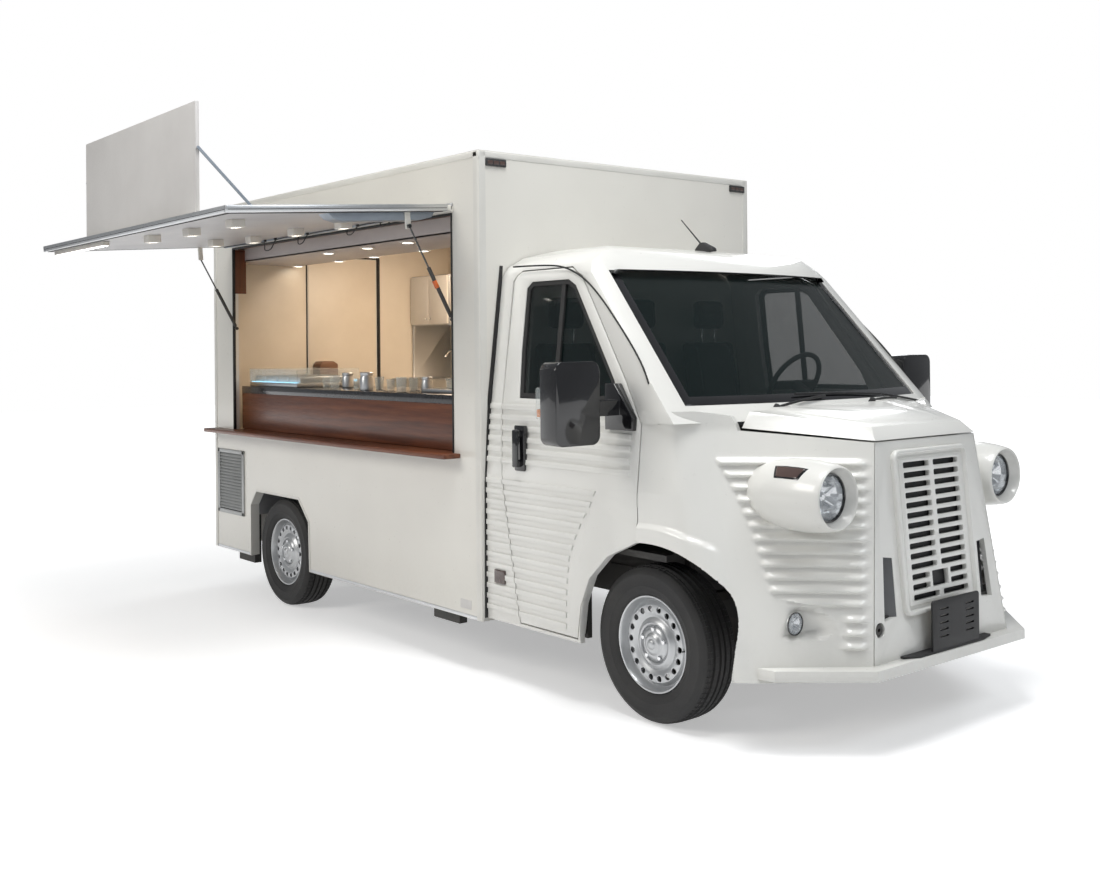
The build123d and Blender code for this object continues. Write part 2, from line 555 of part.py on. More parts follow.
frame_rails = both_sides(block((BOX_REAR_X + 50, RAIL_FRONT_X), (-RAIL_Y - RAIL_W / 2, -RAIL_Y + RAIL_W / 2),
                               (RAIL_TOP - RAIL_H, RAIL_TOP)))
CROSS_X = [BOX_REAR_X + 65, -WHEELBASE - 550, -WHEELBASE + 700, -WHEELBASE + 1450, BOX_FRONT_X - 90, RAIL_FRONT_X - 120]
for x in CROSS_X:
    frame_rails.append(block((x - 35, x + 35), (-RAIL_Y, RAIL_Y), (RAIL_TOP - RAIL_H + 15, RAIL_TOP - 15)))
for x in (-WHEELBASE - SPRING_HALF, -WHEELBASE + SPRING_HALF):
    frame_rails += both_sides(block((x - 40, x + 40), (-SPRING_Y - 30, -RAIL_Y), (432, 540)))
for x in (BOX_FRONT_X - 440, BOX_REAR_X + 240):
    frame_rails += both_sides(block((x - 45, x + 45), (-RAIL_Y - 32, -RAIL_Y + 32),
                                    (RAIL_TOP - RAIL_H - 20, RAIL_TOP - RAIL_H)))
front_beam = block((RAIL_FRONT_X - 60, 920), (-650, 650), (425, 545)) & nose_envelope(-NOSE_SKIN - SEAT_GAP)
tow_face_x = front_x(TOW_Z) - 6
tow_socket = rod((RAIL_FRONT_X - 40, TOW_Y, TOW_Z), (tow_face_x, TOW_Y, TOW_Z), TOW_SOCKET_R)
tow_hole = rod((tow_face_x - TOW_HOLE_L, TOW_Y, TOW_Z), (tow_face_x + 50, TOW_Y, TOW_Z), TOW_HOLE_R)
HITCH_Z = RAIL_TOP - RAIL_H / 2
hitch_holes = [rod((BOX_REAR_X - 100, y, z), (BOX_REAR_X + 200, y, z), HITCH_HOLE_R)
               for y in (-HITCH_SPACING_Y / 2, HITCH_SPACING_Y / 2)
               for z in (HITCH_Z - HITCH_SPACING_Z / 2, HITCH_Z + HITCH_SPACING_Z / 2)]
frame_rails = Part() + (frame_rails + [front_beam, tow_socket])
frame_rails = frame_rails - tow_hole - hitch_holes
engine_block = block((130, 560), (-330, 330), (420, 1060)) + block((300, 400), (-430, 430), (RAIL_TOP, RAIL_TOP + 40))
radiator = block((600, 655), (-320, 320), (RAIL_TOP, 1130)) + block((600, 655), (-430, 430), (RAIL_TOP, RAIL_TOP + 40))

SPRING_LINE = [(-640, 432), (-560, 432), (-300, 342), (0, 313), (300, 342), (560, 432), (640, 432)]
spring = [(x - WHEELBASE, z) for x, z in SPRING_LINE] + [(x - WHEELBASE, z - 26) for x, z in reversed(SPRING_LINE)]
tube_end = REAR_TYRE_Y + HUB_IN - 6
rear_axle = rod((-WHEELBASE, -tube_end, TYRE_R), (-WHEELBASE, tube_end, TYRE_R), 45)
rear_axle = rear_axle + rod((-WHEELBASE, -REAR_TYRE_Y - HUB_OUT, TYRE_R), (-WHEELBASE, REAR_TYRE_Y + HUB_OUT, TYRE_R),
                            WHEEL_BORE_R - PIN_GAP)
rear_axle = rear_axle + both_sides(side_prism(spring, -SPRING_Y - 30, -SPRING_Y + 30))
rear_axle = rear_axle + both_sides(block((-WHEELBASE - 70, -WHEELBASE + 70), (-SPRING_Y - 28, -SPRING_Y + 28),
                                         (290, 345)))

front_suspension = block((-160, 160), (-RAIL_Y - 35, RAIL_Y + 35), (215, 300))
front_suspension = front_suspension + both_sides(block((-160, 160), (-RAIL_Y - 35, -RAIL_Y + 35),
                                                       (300, RAIL_TOP - RAIL_H)))
arm_points = [(-150, -RAIL_Y), (150, -RAIL_Y), (26, -KINGPIN_Y), (-26, -KINGPIN_Y)]
lower_arm = plan_prism(arm_points, 215, KNUCKLE_LOW_Z)
lower_arm = lower_arm + rod((0, -KINGPIN_Y, 215), (0, -KINGPIN_Y, KNUCKLE_LOW_Z), 26)
upper_arm = block((-20, 20), (-KINGPIN_Y, -665), (KNUCKLE_HIGH_Z, KNUCKLE_HIGH_Z + 28))
upper_arm = upper_arm + rod((0, -KINGPIN_Y, KNUCKLE_HIGH_Z), (0, -KINGPIN_Y, KNUCKLE_HIGH_Z + 28), 26)
damper = rod((0, -690, KNUCKLE_HIGH_Z), (0, -690, CAB_FLOOR_Z - CAB_FLOOR_T), 27)
damper_brace = block((-24, 24), (-700, -RAIL_Y - RAIL_W / 2), (500, 540))
front_suspension = front_suspension + both_sides(lower_arm + upper_arm + damper + damper_brace)

knuckle_right = block((-34, 34), (-KINGPIN_Y - 30, -KINGPIN_Y + 30), (KNUCKLE_LOW_Z + PIN_GAP, KNUCKLE_HIGH_Z - PIN_GAP))
knuckle_right = knuckle_right + rod((0, -KINGPIN_Y, TYRE_R), (0, -FRONT_TYRE_Y - HUB_OUT, TYRE_R),
                                    WHEEL_BORE_R - PIN_GAP)
knuckle_right = knuckle_right + rod((0, -KINGPIN_Y - 32, TYRE_R), (0, -KINGPIN_Y - 58, TYRE_R), 150)


def ring(x, y, half_w, outer, inner):
    "Round ring about a wheel's axle."
    return rod((x, y - half_w, TYRE_R), (x, y + half_w, TYRE_R), outer) - rod(
        (x, y - half_w - 1, TYRE_R), (x, y + half_w + 1, TYRE_R), inner)


def wheel_pair(x, y):
    "Tyre and rim of a right-hand wheel."
    tyre = rod((x, y - TYRE_W / 2, TYRE_R), (x, y + TYRE_W / 2, TYRE_R), TYRE_R)
    tyre = fillet(tyre.edges().filter_by(GeomType.CIRCLE), 36)
    tyre = tyre - rod((x, y - TYRE_W, TYRE_R), (x, y + TYRE_W, TYRE_R), RIM_FLANGE_R + SEAT_GAP)
    tyre = tyre + ring(x, y, RIM_W / 2 - 8 - SEAT_GAP, RIM_FLANGE_R + 5, RIM_R + SEAT_GAP)
    rim = ring(x, y, RIM_W / 2, RIM_FLANGE_R, RIM_R - 9) - ring(x, y, RIM_W / 2 - 8, RIM_FLANGE_R + 9, RIM_R)
    rim = rim + rod((x, y - HUB_OUT, TYRE_R), (x, y - HUB_OUT + 13, TYRE_R), RIM_R - 4)
    rim = rim + rod((x, y - HUB_OUT, TYRE_R), (x, y - HUB_IN, TYRE_R), 82)
    rim = rim - rod((x, y - TYRE_W, TYRE_R), (x, y + TYRE_W, TYRE_R), WHEEL_BORE_R)
    holes = []
    for k in range(RIM_HOLES):
        turn = 2 * math.pi * k / RIM_HOLES
        hole_x = x + RIM_HOLE_PCR * math.cos(turn)
        hole_z = TYRE_R + RIM_HOLE_PCR * math.sin(turn)
        holes.append(rod((hole_x, y - HUB_OUT - 5, hole_z), (hole_x, y - HUB_OUT + 18, hole_z), RIM_HOLE_R))
    return tyre, rim - holes


tyre_fr, rim_fr = wheel_pair(0.0, -FRONT_TYRE_Y)
tyre_rr, rim_rr = wheel_pair(-WHEELBASE, -REAR_TYRE_Y)
floor_low = FLOOR_TOP_Z - FLOOR_T
TANK_X = (-WHEELBASE + 800, -WHEELBASE + 1500)
fuel_tank = fillet(block(TANK_X, (480, 900), (300, floor_low)).edges().filter_by(Axis.X), 40)

# Box body

inside_x = (BOX_REAR_X + BOX_WALL, BOX_FRONT_X - BOX_WALL)
inside_y = BOX_HALF_W - BOX_WALL
wall_top = BOX_TOP_Z - BOX_WALL
arch_front = -WHEELBASE + REAR_ARCH_FRONT
arch_rear = -WHEELBASE - REAR_ARCH_REAR
rear_arch = side_prism([
    (arch_rear, 0), (arch_rear, REAR_ARCH_TOP_Z - 100), (arch_rear + 90, REAR_ARCH_TOP_Z),
    (arch_front - 145, REAR_ARCH_TOP_Z), (arch_front - 10, REAR_ARCH_TOP_Z - 135), (arch_front, 0)],
    -BOX_REACH, BOX_REACH)
wall_reach = (-BOX_REACH, -BOX_HALF_W + 150)
opening_cut = block((OPENING_REAR_X, OPENING_FRONT_X), wall_reach, (OPENING_LOW_Z, OPENING_HIGH_Z))
rail_notch = block((BOX_REAR_X - 500, 0), (-480, 480), (0, RAIL_TOP))
box_roof = block((BOX_REAR_X, BOX_FRONT_X), (-BOX_HALF_W, BOX_HALF_W), (wall_top, BOX_TOP_Z))
box_front_wall = block((BOX_FRONT_X - BOX_WALL, BOX_FRONT_X), (-BOX_HALF_W, BOX_HALF_W), (BOX_SKIRT_Z, wall_top))
box_front_wall = box_front_wall - rail_notch
box_rear_wall = block((BOX_REAR_X, BOX_REAR_X + BOX_WALL), (-BOX_HALF_W, BOX_HALF_W), (BOX_SKIRT_Z, wall_top))
box_rear_wall = box_rear_wall - rail_notch
box_rear_wall = box_rear_wall - block((BOX_REAR_X - 5, BOX_REAR_X + BOX_WALL + 5),
                                      (-REAR_DOOR_HALF_W - SHUT_GAP, REAR_DOOR_HALF_W + SHUT_GAP),
                                      (FLOOR_TOP_Z, REAR_DOOR_TOP_Z + SHUT_GAP))
rear_door = block((BOX_REAR_X, BOX_REAR_X + BOX_WALL), (-REAR_DOOR_HALF_W, REAR_DOOR_HALF_W),
                  (FLOOR_TOP_Z + SHUT_GAP, REAR_DOOR_TOP_Z))
rear_door = rear_door - hinge_notch(BOX_REAR_X, REAR_DOOR_HALF_W, REAR_HINGE_Z)
rear_leaves = [block((BOX_REAR_X, BOX_REAR_X + 8), (REAR_DOOR_HALF_W, REAR_DOOR_HALF_W + 20), z) for z in REAR_HINGE_Z]
box_rear_wall = box_rear_wall + rear_leaves + hinge_post(BOX_REAR_X, REAR_DOOR_HALF_W, REAR_HINGE_Z)
box_side_right = block(inside_x, (-BOX_HALF_W, -inside_y), (BOX_SKIRT_Z, wall_top)) - rear_arch
box_side_left = flip(box_side_right)
box_side_right = box_side_right - opening_cut - block(VENT_X, wall_reach, VENT_Z)
strut_x = (OPENING_FRONT_X - STRUT_SET_IN, OPENING_REAR_X + STRUT_SET_IN)
boss_l = STRUT_SET_IN - STRUT_EYE_T / 2 - PIN_GAP
box_side_right = box_side_right + [
    rod((OPENING_FRONT_X, STRUT_FOOT_Y, STRUT_FOOT_Z), (OPENING_FRONT_X - boss_l, STRUT_FOOT_Y, STRUT_FOOT_Z), 9),
    rod((OPENING_REAR_X, STRUT_FOOT_Y, STRUT_FOOT_Z), (OPENING_REAR_X + boss_l, STRUT_FOOT_Y, STRUT_FOOT_Z), 9)]
hinge_x = (OPENING_REAR_X - HATCH_END_LAP, OPENING_FRONT_X + HATCH_END_LAP)
hinge_leaf = block(hinge_x, (-BOX_HALF_W - HATCH_PIN_R, -BOX_HALF_W), (HATCH_AXIS_Z - HATCH_PIN_R, HATCH_AXIS_Z + 22))
hinge_web = block(hinge_x, (HATCH_AXIS_Y, -BOX_HALF_W), (HATCH_AXIS_Z - 2, HATCH_AXIS_Z + 3))
hinge_pin = rod((hinge_x[0], HATCH_AXIS_Y, HATCH_AXIS_Z), (hinge_x[1], HATCH_AXIS_Y, HATCH_AXIS_Z), HATCH_PIN_R)
box_side_right = box_side_right + hinge_leaf + hinge_web + hinge_pin

vent_y = (-BOX_HALF_W - 4, -inside_y)
vent = block(VENT_X, vent_y, VENT_Z)
vent = vent - block((VENT_X[0] + 14, VENT_X[1] - 14), wall_reach, (VENT_Z[0] + 14, VENT_Z[1] - 14))
slat_pitch = (VENT_Z[1] - VENT_Z[0] - 28) / VENT_SLATS
for k in range(VENT_SLATS):
    slat_z = VENT_Z[0] + 14 + slat_pitch * k + 2.5
    slat_points = [(vent_y[0] + 2, slat_z), (vent_y[0] + 2, slat_z + 5), (vent_y[1], slat_z + 20), (vent_y[1], slat_z + 15)]
    vent = vent + cross_prism(slat_points, VENT_X[0] + 10, VENT_X[1] - 10)

box_floor = block(inside_x, (-inside_y, inside_y), (floor_low, FLOOR_TOP_Z))
WHEEL_BOX_Y = -REAR_TYRE_Y + 165
box_floor = box_floor + both_sides(block((arch_rear - 20, arch_front + 20), (-inside_y, WHEEL_BOX_Y),
                                         (floor_low, WHEEL_BOX_TOP_Z)))
box_floor = box_floor - both_sides(block((arch_rear, arch_front), (-inside_y - 5, WHEEL_BOX_Y - 20),
                                         (0, WHEEL_BOX_TOP_Z - 20)))

inner_rear_x = BOX_REAR_X + BOX_WALL + 10
shelf_x = (inner_rear_x, OPENING_FRONT_X + 60)
shelf_low = SHELF_TOP_Z - SHELF_T
shelf = block(shelf_x, (-BOX_HALF_W - SHELF_OUT, -BOX_HALF_W), (shelf_low, SHELF_TOP_Z))
shelf = shelf + block((OPENING_REAR_X, OPENING_FRONT_X), (-BOX_HALF_W - 10, COUNTER_FRONT_Y), (OPENING_LOW_Z, SHELF_TOP_Z))
shelf = shelf + block((OPENING_REAR_X, OPENING_FRONT_X), (COUNTER_FRONT_Y - 20, COUNTER_FRONT_Y),
                      (OPENING_LOW_Z, COUNTER_Z - 32))
counter = block((OPENING_REAR_X, OPENING_FRONT_X), (COUNTER_FRONT_Y - 30, COUNTER_BACK_Y), (COUNTER_Z - 32, COUNTER_Z))
counter = counter + case((OPENING_REAR_X, arch_front + 30), (COUNTER_FRONT_Y, COUNTER_BACK_Y - 30),
                         (WHEEL_BOX_TOP_Z, COUNTER_Z - 31), 20)
counter = counter + case((arch_front + 30, OPENING_FRONT_X), (COUNTER_FRONT_Y, COUNTER_BACK_Y - 30),
                         (FLOOR_TOP_Z, COUNTER_Z - 31), 20)
GALLEY_Z = 1470.0
galley_y = (inside_y - 560, inside_y)
galley = case((inner_rear_x, arch_front + 30), galley_y, (WHEEL_BOX_TOP_Z, GALLEY_Z), 20)
galley = galley + case((arch_front + 30, BOX_FRONT_X - 140), galley_y, (FLOOR_TOP_Z, GALLEY_Z), 20)
sink_x = (BOX_REAR_X + 490, BOX_REAR_X + 930)
sink_y = (inside_y - 450, inside_y - 110)
sink_hole = block(sink_x, sink_y, (GALLEY_Z - 170, GALLEY_Z + 30))
sink_tray = block((sink_x[0] - 10, sink_x[1] + 10), (sink_y[0] - 10, sink_y[1] + 10), (GALLEY_Z - 160, GALLEY_Z - 20))
sink_tray = sink_tray - block(sink_x, sink_y, (GALLEY_Z - 150, GALLEY_Z + 30))
galley = (galley - sink_hole) + sink_tray
cabinet_y = (inside_y - 370, inside_y)
galley = galley + block((inner_rear_x, inner_rear_x + 20), cabinet_y, (GALLEY_Z, 1900))
galley = galley + case((inner_rear_x, inner_rear_x + 540), cabinet_y, (1900, 2300), 20)

lamp_y = (-BOX_HALF_W + 40, -BOX_HALF_W + 120)
rear_lamps = Part() + both_sides(block((BOX_REAR_X - LAMP_OUT, BOX_REAR_X), lamp_y, (600, 900)))
stabilisers = []
stabiliser_y = (-BOX_HALF_W + 50, -BOX_HALF_W + 100)
for x in (BOX_FRONT_X - 280, BOX_REAR_X + 540):
    stabilisers += both_sides(block((x - 250, x), stabiliser_y, (215, 265))
                              + block((x - 60, x), stabiliser_y, (265, floor_low)))
stabilisers = Part() + stabilisers

# Serving hatch: modelled shut, then swung open about its axis

hatch_axis = Axis((0, HATCH_AXIS_Y, HATCH_AXIS_Z), (1, 0, 0))
drop = math.radians(90 - HATCH_OPEN_DEG)
hatch_len = HATCH_AXIS_Z - HATCH_LOW_Z


def on_hatch(out, up):
    "Point (y, z) on the open hatch: out from its axis, up from its upper face."
    lift = HATCH_T + up
    return (HATCH_AXIS_Y - out * math.cos(drop) - lift * math.sin(drop),
            HATCH_AXIS_Z - out * math.sin(drop) + lift * math.cos(drop))


def beside(x, near, far):
    "X range beside a strut, on its side away from the jamb."
    side = -1 if x > (OPENING_REAR_X + OPENING_FRONT_X) / 2 else 1
    return tuple(sorted((x + side * near, x + side * far)))


hatch = block(hinge_x, (HATCH_AXIS_Y - HATCH_T, HATCH_AXIS_Y), (HATCH_LOW_Z, HATCH_AXIS_Z))
lug_gap = STRUT_EYE_T / 2 + PIN_GAP
head_z = HATCH_AXIS_Z - STRUT_HEAD_OUT
for x in strut_x:
    hatch = hatch + block(beside(x, lug_gap, lug_gap + STRUT_LUG_T), (HATCH_AXIS_Y, HATCH_AXIS_Y + STRUT_HEAD_IN + 14),
                          (head_z - 16, head_z + 16))
hatch = hatch - rod((hinge_x[0] - 1, HATCH_AXIS_Y, HATCH_AXIS_Z), (hinge_x[1] + 1, HATCH_AXIS_Y, HATCH_AXIS_Z),
                    HATCH_PIN_R + PIN_GAP)
hatch = hatch.rotate(hatch_axis, -HATCH_OPEN_DEG)

sign_out = (HATCH_AXIS_Y - SIGN_Y - HATCH_T * math.sin(drop)) / math.cos(drop)
sign_foot_z = on_hatch(sign_out, 0)[1] + SIGN_LIFT
sign_panel = block((SIGN_REAR_X, SIGN_FRONT_X), (SIGN_Y - SIGN_T, SIGN_Y), (sign_foot_z, sign_foot_z + SIGN_H))
stay_pin = (SIGN_Y - SIGN_T / 2, sign_foot_z + STAY_PIN_UP)
stay_out = (HATCH_AXIS_Y - STAY_FOOT_Y) / math.cos(drop)
stay_foot = on_hatch(stay_out, STAY_LIFT)
stays = []
for edge_x, side in ((SIGN_FRONT_X, 1), (SIGN_REAR_X, -1)):
    near_x = edge_x + side * 6
    far_x = near_x + side * STAY_T
    bar = rod((near_x, *stay_foot), (far_x, *stay_foot), STAY_W / 2) + rod((near_x, *stay_pin), (far_x, *stay_pin),
                                                                           STAY_W / 2)
    length = math.hypot(stay_pin[0] - stay_foot[0], stay_pin[1] - stay_foot[1])
    lean = math.degrees(math.atan2(stay_foot[0] - stay_pin[0], stay_pin[1] - stay_foot[1]))
    flat = Rot(lean, 0, 0) * block((0, STAY_T), (-STAY_W / 2, STAY_W / 2), (0, length))
    stays.append(bar + Pos(min(near_x, far_x), *stay_foot) * flat)
    sign_panel = sign_panel + rod((edge_x - side * 5, *stay_pin), (near_x - side * PIN_GAP, *stay_pin), 5)
    lug_x = tuple(sorted((far_x + side * PIN_GAP, far_x + side * (PIN_GAP + 10))))
    hatch = hatch + block(lug_x, (stay_foot[0] - 16, stay_foot[0] + 16), (stay_foot[1] - STAY_LIFT - 6, stay_foot[1] + 12))
for x in (SIGN_REAR_X + 60, (SIGN_REAR_X + SIGN_FRONT_X) / 2, SIGN_FRONT_X - 60):
    hatch = hatch + block((x - 40, x + 40), (SIGN_Y - SIGN_T, SIGN_Y), (sign_foot_z - SIGN_LIFT - 6, sign_foot_z - PIN_GAP))
sign_stays = Part() + stays

strut_foot = Vector(0, STRUT_FOOT_Y, STRUT_FOOT_Z)
head_y, head_z = on_hatch(STRUT_HEAD_OUT, -HATCH_T - STRUT_HEAD_IN)
strut_head = Vector(0, head_y, head_z)
strut_dir = (strut_head - strut_foot).normalized()


def along(x, base, distance):
    point = base + strut_dir * distance
    return (x, point.Y, point.Z)


cylinders = []
rods = []
for x in strut_x:
    eye = rod((x - STRUT_EYE_T / 2, STRUT_FOOT_Y, STRUT_FOOT_Z), (x + STRUT_EYE_T / 2, STRUT_FOOT_Y, STRUT_FOOT_Z),
              STRUT_EYE_R)
    eye = eye + rod(along(x, strut_foot, 0), along(x, strut_foot, 24), 6)
    tube = rod(along(x, strut_foot, 20), along(x, strut_foot, STRUT_TUBE_L), STRUT_TUBE_R)
    bore = rod(along(x, strut_foot, 40), along(x, strut_foot, STRUT_TUBE_L + 5), STRUT_BORE_R)
    cylinders.append((eye + tube) - bore)
    head = rod((x - STRUT_EYE_T / 2, head_y, head_z), (x + STRUT_EYE_T / 2, head_y, head_z), STRUT_EYE_R)
    rods.append(head + rod(along(x, strut_head, 0), along(x, strut_head, -STRUT_ROD_L), STRUT_ROD_R))
strut_cylinders = Part() + cylinders
strut_rods = Part() + rods

# All pieces, moved so that the truck stands on the origin at the middle of its bounds

hatch_edge_y = on_hatch(hatch_len, 0)[0]
MIDDLE_X = (BUMPER_TIP_X + BOX_REAR_X - LAMP_OUT) / 2
MIDDLE_Y = (MIRROR_OUT_Y + hatch_edge_y) / 2

pieces = {
    "frame_rails": frame_rails, "engine_block": engine_block, "radiator": radiator, "fuel_tank": fuel_tank,
    "front_suspension": front_suspension, "rear_axle": rear_axle,
    "cab_shell": cab_shell, "cab_floor": cab_floor, "nose_shell": nose_shell, "nose_panel": nose_panel,
    "grille": grille, "bumper": bumper, "plate_bracket": plate_bracket,
    "headlamp_pods": Part() + both_sides(pod_right),
    "lamp_lenses": Part() + both_sides(lens_right) + both_sides(fog_right),
    "windscreen": windscreen, "dashboard": dashboard, "seats": seats, "steering_wheel": steering_wheel,
    "bonnet": bonnet,
    "box_floor": box_floor, "box_front_wall": box_front_wall, "box_rear_wall": box_rear_wall,
    "box_side_right": box_side_right, "box_side_left": box_side_left, "box_roof": box_roof,
    "shelf": shelf, "counter": counter, "galley": galley, "vent": vent, "rear_lamps": rear_lamps,
    "stabilisers": stabilisers, "rear_door": rear_door,
    "hatch": hatch, "sign_panel": sign_panel, "sign_stays": sign_stays,
    "strut_cylinders": strut_cylinders, "strut_rods": strut_rods,
}
for name, right in (("door", door_right), ("glass", glass_right), ("mirror", mirror_right), ("knuckle", knuckle_right)):
    pieces[name + "_right"] = right
    pieces[name + "_left"] = flip(right)
for name, right in (("tyre_f", tyre_fr), ("rim_f", rim_fr), ("tyre_r", tyre_rr), ("rim_r", rim_rr)):
    pieces[name + "r"] = right
    pieces[name + "l"] = flip(right)

for name, shape in pieces.items():
    placed = Pos(-MIDDLE_X, -MIDDLE_Y, 0) * shape
    box = placed.bounding_box()
    print(name, len(placed.solids()), round(placed.volume / 1e6, 1), [round(v) for v in (*box.min, *box.max)])
    export_step(placed, f"parts/{name}.step")
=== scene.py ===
import json
import math

import bpy
from mathutils import Matrix, Vector

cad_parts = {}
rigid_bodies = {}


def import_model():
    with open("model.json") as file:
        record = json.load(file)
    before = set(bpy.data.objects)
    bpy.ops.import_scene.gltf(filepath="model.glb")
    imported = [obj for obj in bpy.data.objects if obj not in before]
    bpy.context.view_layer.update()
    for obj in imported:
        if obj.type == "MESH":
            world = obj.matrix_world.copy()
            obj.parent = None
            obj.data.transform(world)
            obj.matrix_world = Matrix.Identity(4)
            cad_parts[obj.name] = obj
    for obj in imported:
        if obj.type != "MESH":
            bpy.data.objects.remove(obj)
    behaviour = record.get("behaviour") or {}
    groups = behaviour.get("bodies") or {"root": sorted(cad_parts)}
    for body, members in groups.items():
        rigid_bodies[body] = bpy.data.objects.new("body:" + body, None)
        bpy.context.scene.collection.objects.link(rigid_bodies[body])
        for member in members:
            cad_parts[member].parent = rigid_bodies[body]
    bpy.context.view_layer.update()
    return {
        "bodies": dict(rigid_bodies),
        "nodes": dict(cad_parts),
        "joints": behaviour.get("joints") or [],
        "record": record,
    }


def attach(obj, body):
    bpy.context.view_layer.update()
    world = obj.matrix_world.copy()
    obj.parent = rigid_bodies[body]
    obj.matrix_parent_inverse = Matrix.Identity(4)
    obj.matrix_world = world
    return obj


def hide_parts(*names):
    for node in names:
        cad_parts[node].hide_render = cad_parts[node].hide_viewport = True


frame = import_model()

nodes = frame["nodes"]

# Places below are in metres from the front axle, the truck's middle line and the ground.
AXLE_X = 1.78
MIDDLE_Y = 0.46647

# Sizes shared with the solids
WHEELBASE = 3.45
FRONT_TYRE_Y = 0.855
REAR_TYRE_Y = 0.925
TYRE_R = 0.358
BOX_FRONT_X = -1.16
BOX_REAR_X = -4.49
BOX_HALF_W = 1.05
BOX_WALL = 0.04
BOX_TOP_Z = 2.757
OPENING_X = (-4.165, -1.405)
OPENING_Z = (1.14, 2.445)
HATCH_AXIS = (-1.062, 2.458)
HATCH_T = 0.03
HATCH_LEN = 1.292
HATCH_X = (-4.177, -1.393)
HATCH_DROP = math.radians(4)
POD_Y = 0.65
POD_Z = 1.07
FOG_Y = 0.742
FOG_Z = 0.534
WELD = 0.00002


# Modelling

def deselect():
    bpy.ops.object.select_all(action="DESELECT")


def pick(piece):
    deselect()
    piece.select_set(True)
    bpy.context.view_layer.objects.active = piece


def edit(piece, mode="VERT"):
    pick(piece)
    bpy.ops.object.mode_set(mode="EDIT")
    bpy.ops.mesh.select_mode(type=mode)
    bpy.ops.mesh.select_all(action="SELECT")


def leave():
    bpy.ops.object.mode_set(mode="OBJECT")


def added(name):
    "The primitive just added, named, with its place in its mesh."
    piece = bpy.context.active_object
    piece.name = name
    piece.data.name = name
    bpy.ops.object.transform_apply(location=True, rotation=True, scale=True)
    return piece


def choose_faces(piece, wanted):
    "Selects the faces whose centre and normal suit; call in object mode."
    pick(piece)
    for part in (piece.data.vertices, piece.data.edges, piece.data.polygons):
        part.foreach_set("select", [False] * len(part))
    for face in piece.data.polygons:
        face.select = wanted(face.center, face.normal)
    bpy.context.tool_settings.mesh_select_mode = (False, False, True)
    bpy.ops.object.mode_set(mode="EDIT")


def faces_up(centre, normal):
    return normal.z > 0.99


def faces_down(centre, normal):
    return normal.z < -0.99


def rounded(piece, width, segments=2, angle=35):
    "Sharp edges rounded by an applied bevel."
    pick(piece)
    bevel = piece.modifiers.new("rounding", "BEVEL")
    bevel.width = width
    bevel.segments = segments
    bevel.limit_method = "ANGLE"
    bevel.angle_limit = math.radians(angle)
    bpy.ops.object.modifier_apply(modifier=bevel.name)
    return piece


def thickened(piece, thickness, offset=-1):
    "An open sheet given its thickness, inwards or outwards."
    pick(piece)
    solid = piece.modifiers.new("thickness", "SOLIDIFY")
    solid.thickness = thickness
    solid.offset = offset
    bpy.ops.object.modifier_apply(modifier=solid.name)
    return piece


def sunk(piece, wanted, border, shift):
    "Presses the chosen faces in, inside a border."
    choose_faces(piece, wanted)
    bpy.ops.mesh.inset(thickness=border)
    bpy.ops.mesh.extrude_region_move(TRANSFORM_OT_translate={"value": (0, 0, shift)})
    leave()
    return piece


def outward(piece):
    edit(piece)
    bpy.ops.mesh.remove_doubles(threshold=WELD)
    bpy.ops.mesh.normals_make_consistent(inside=False)
    leave()
    return piece


def slab(name, x, y, z, width=0.003, segments=2):
    "Block between (low, high) pairs, its edges rounded."
    deselect()
    middle = [(low + high) / 2 for low, high in (x, y, z)]
    size = [high - low for low, high in (x, y, z)]
    bpy.ops.mesh.primitive_cube_add(size=1, location=middle, scale=size)
    piece = added(name)
    edit(piece, "EDGE")
    bpy.ops.mesh.bevel(offset=min(width, min(size) * 0.45), segments=segments, affect="EDGES")
    leave()
    return piece


def bar(name, start, end, radius, sides=24, width=0.0015, tip=None):
    "Round bar between two points, with rounded rims, or tapered to a tip radius."
    deselect()
    start, end = Vector(start), Vector(end)
    run = end - start
    turn = run.to_track_quat("Z", "Y").to_euler()
    bpy.ops.mesh.primitive_cone_add(vertices=sides, radius1=radius, radius2=radius if tip is None else tip,
            depth=run.length, location=(start + end) / 2, rotation=turn)
    return rounded(added(name), width, 2, 50)


def plate(name, outline, side, low, high, width=0.002, segments=2):
    "Flat outline drawn out between two levels; side says the two axes of its points, such as XZ."
    deselect()
    across = "XYZ".index(side[0])
    up = "XYZ".index(side[1])
    deep = 3 - across - up
    bpy.ops.mesh.primitive_circle_add(vertices=len(outline), radius=1, fill_type="NGON")
    piece = added(name)
    for vertex, (u, v) in zip(piece.data.vertices, outline):
        place = [0.0, 0.0, 0.0]
        place[across] = u
        place[up] = v
        place[deep] = low
        vertex.co = place
    shift = [0.0, 0.0, 0.0]
    shift[deep] = high - low
    edit(piece, "FACE")
    bpy.ops.mesh.extrude_region_move(TRANSFORM_OT_translate={"value": shift})
    leave()
    outward(piece)
    if width:
        rounded(piece, width, segments)
    return piece


def turned(name, profile, place, steps=48, axis=(0, 1, 0)):
    "Profile of (radius, along) points spun about an axis through a place."
    deselect()
    axis = Vector(axis).normalized()
    out = axis.orthogonal().normalized()
    points = [Vector(place) + out * radius + axis * run for radius, run in profile]
    bpy.ops.mesh.primitive_plane_add(size=0.01, location=points[0])
    piece = added(name)
    edit(piece)
    bpy.ops.mesh.merge(type="CENTER")
    for before, after in zip(points, points[1:]):
        bpy.ops.mesh.extrude_region_move(TRANSFORM_OT_translate={"value": after - before})
    bpy.ops.mesh.select_all(action="SELECT")
    bpy.ops.mesh.spin(steps=steps, angle=math.tau, center=place, axis=axis)
    leave()
    return outward(piece)


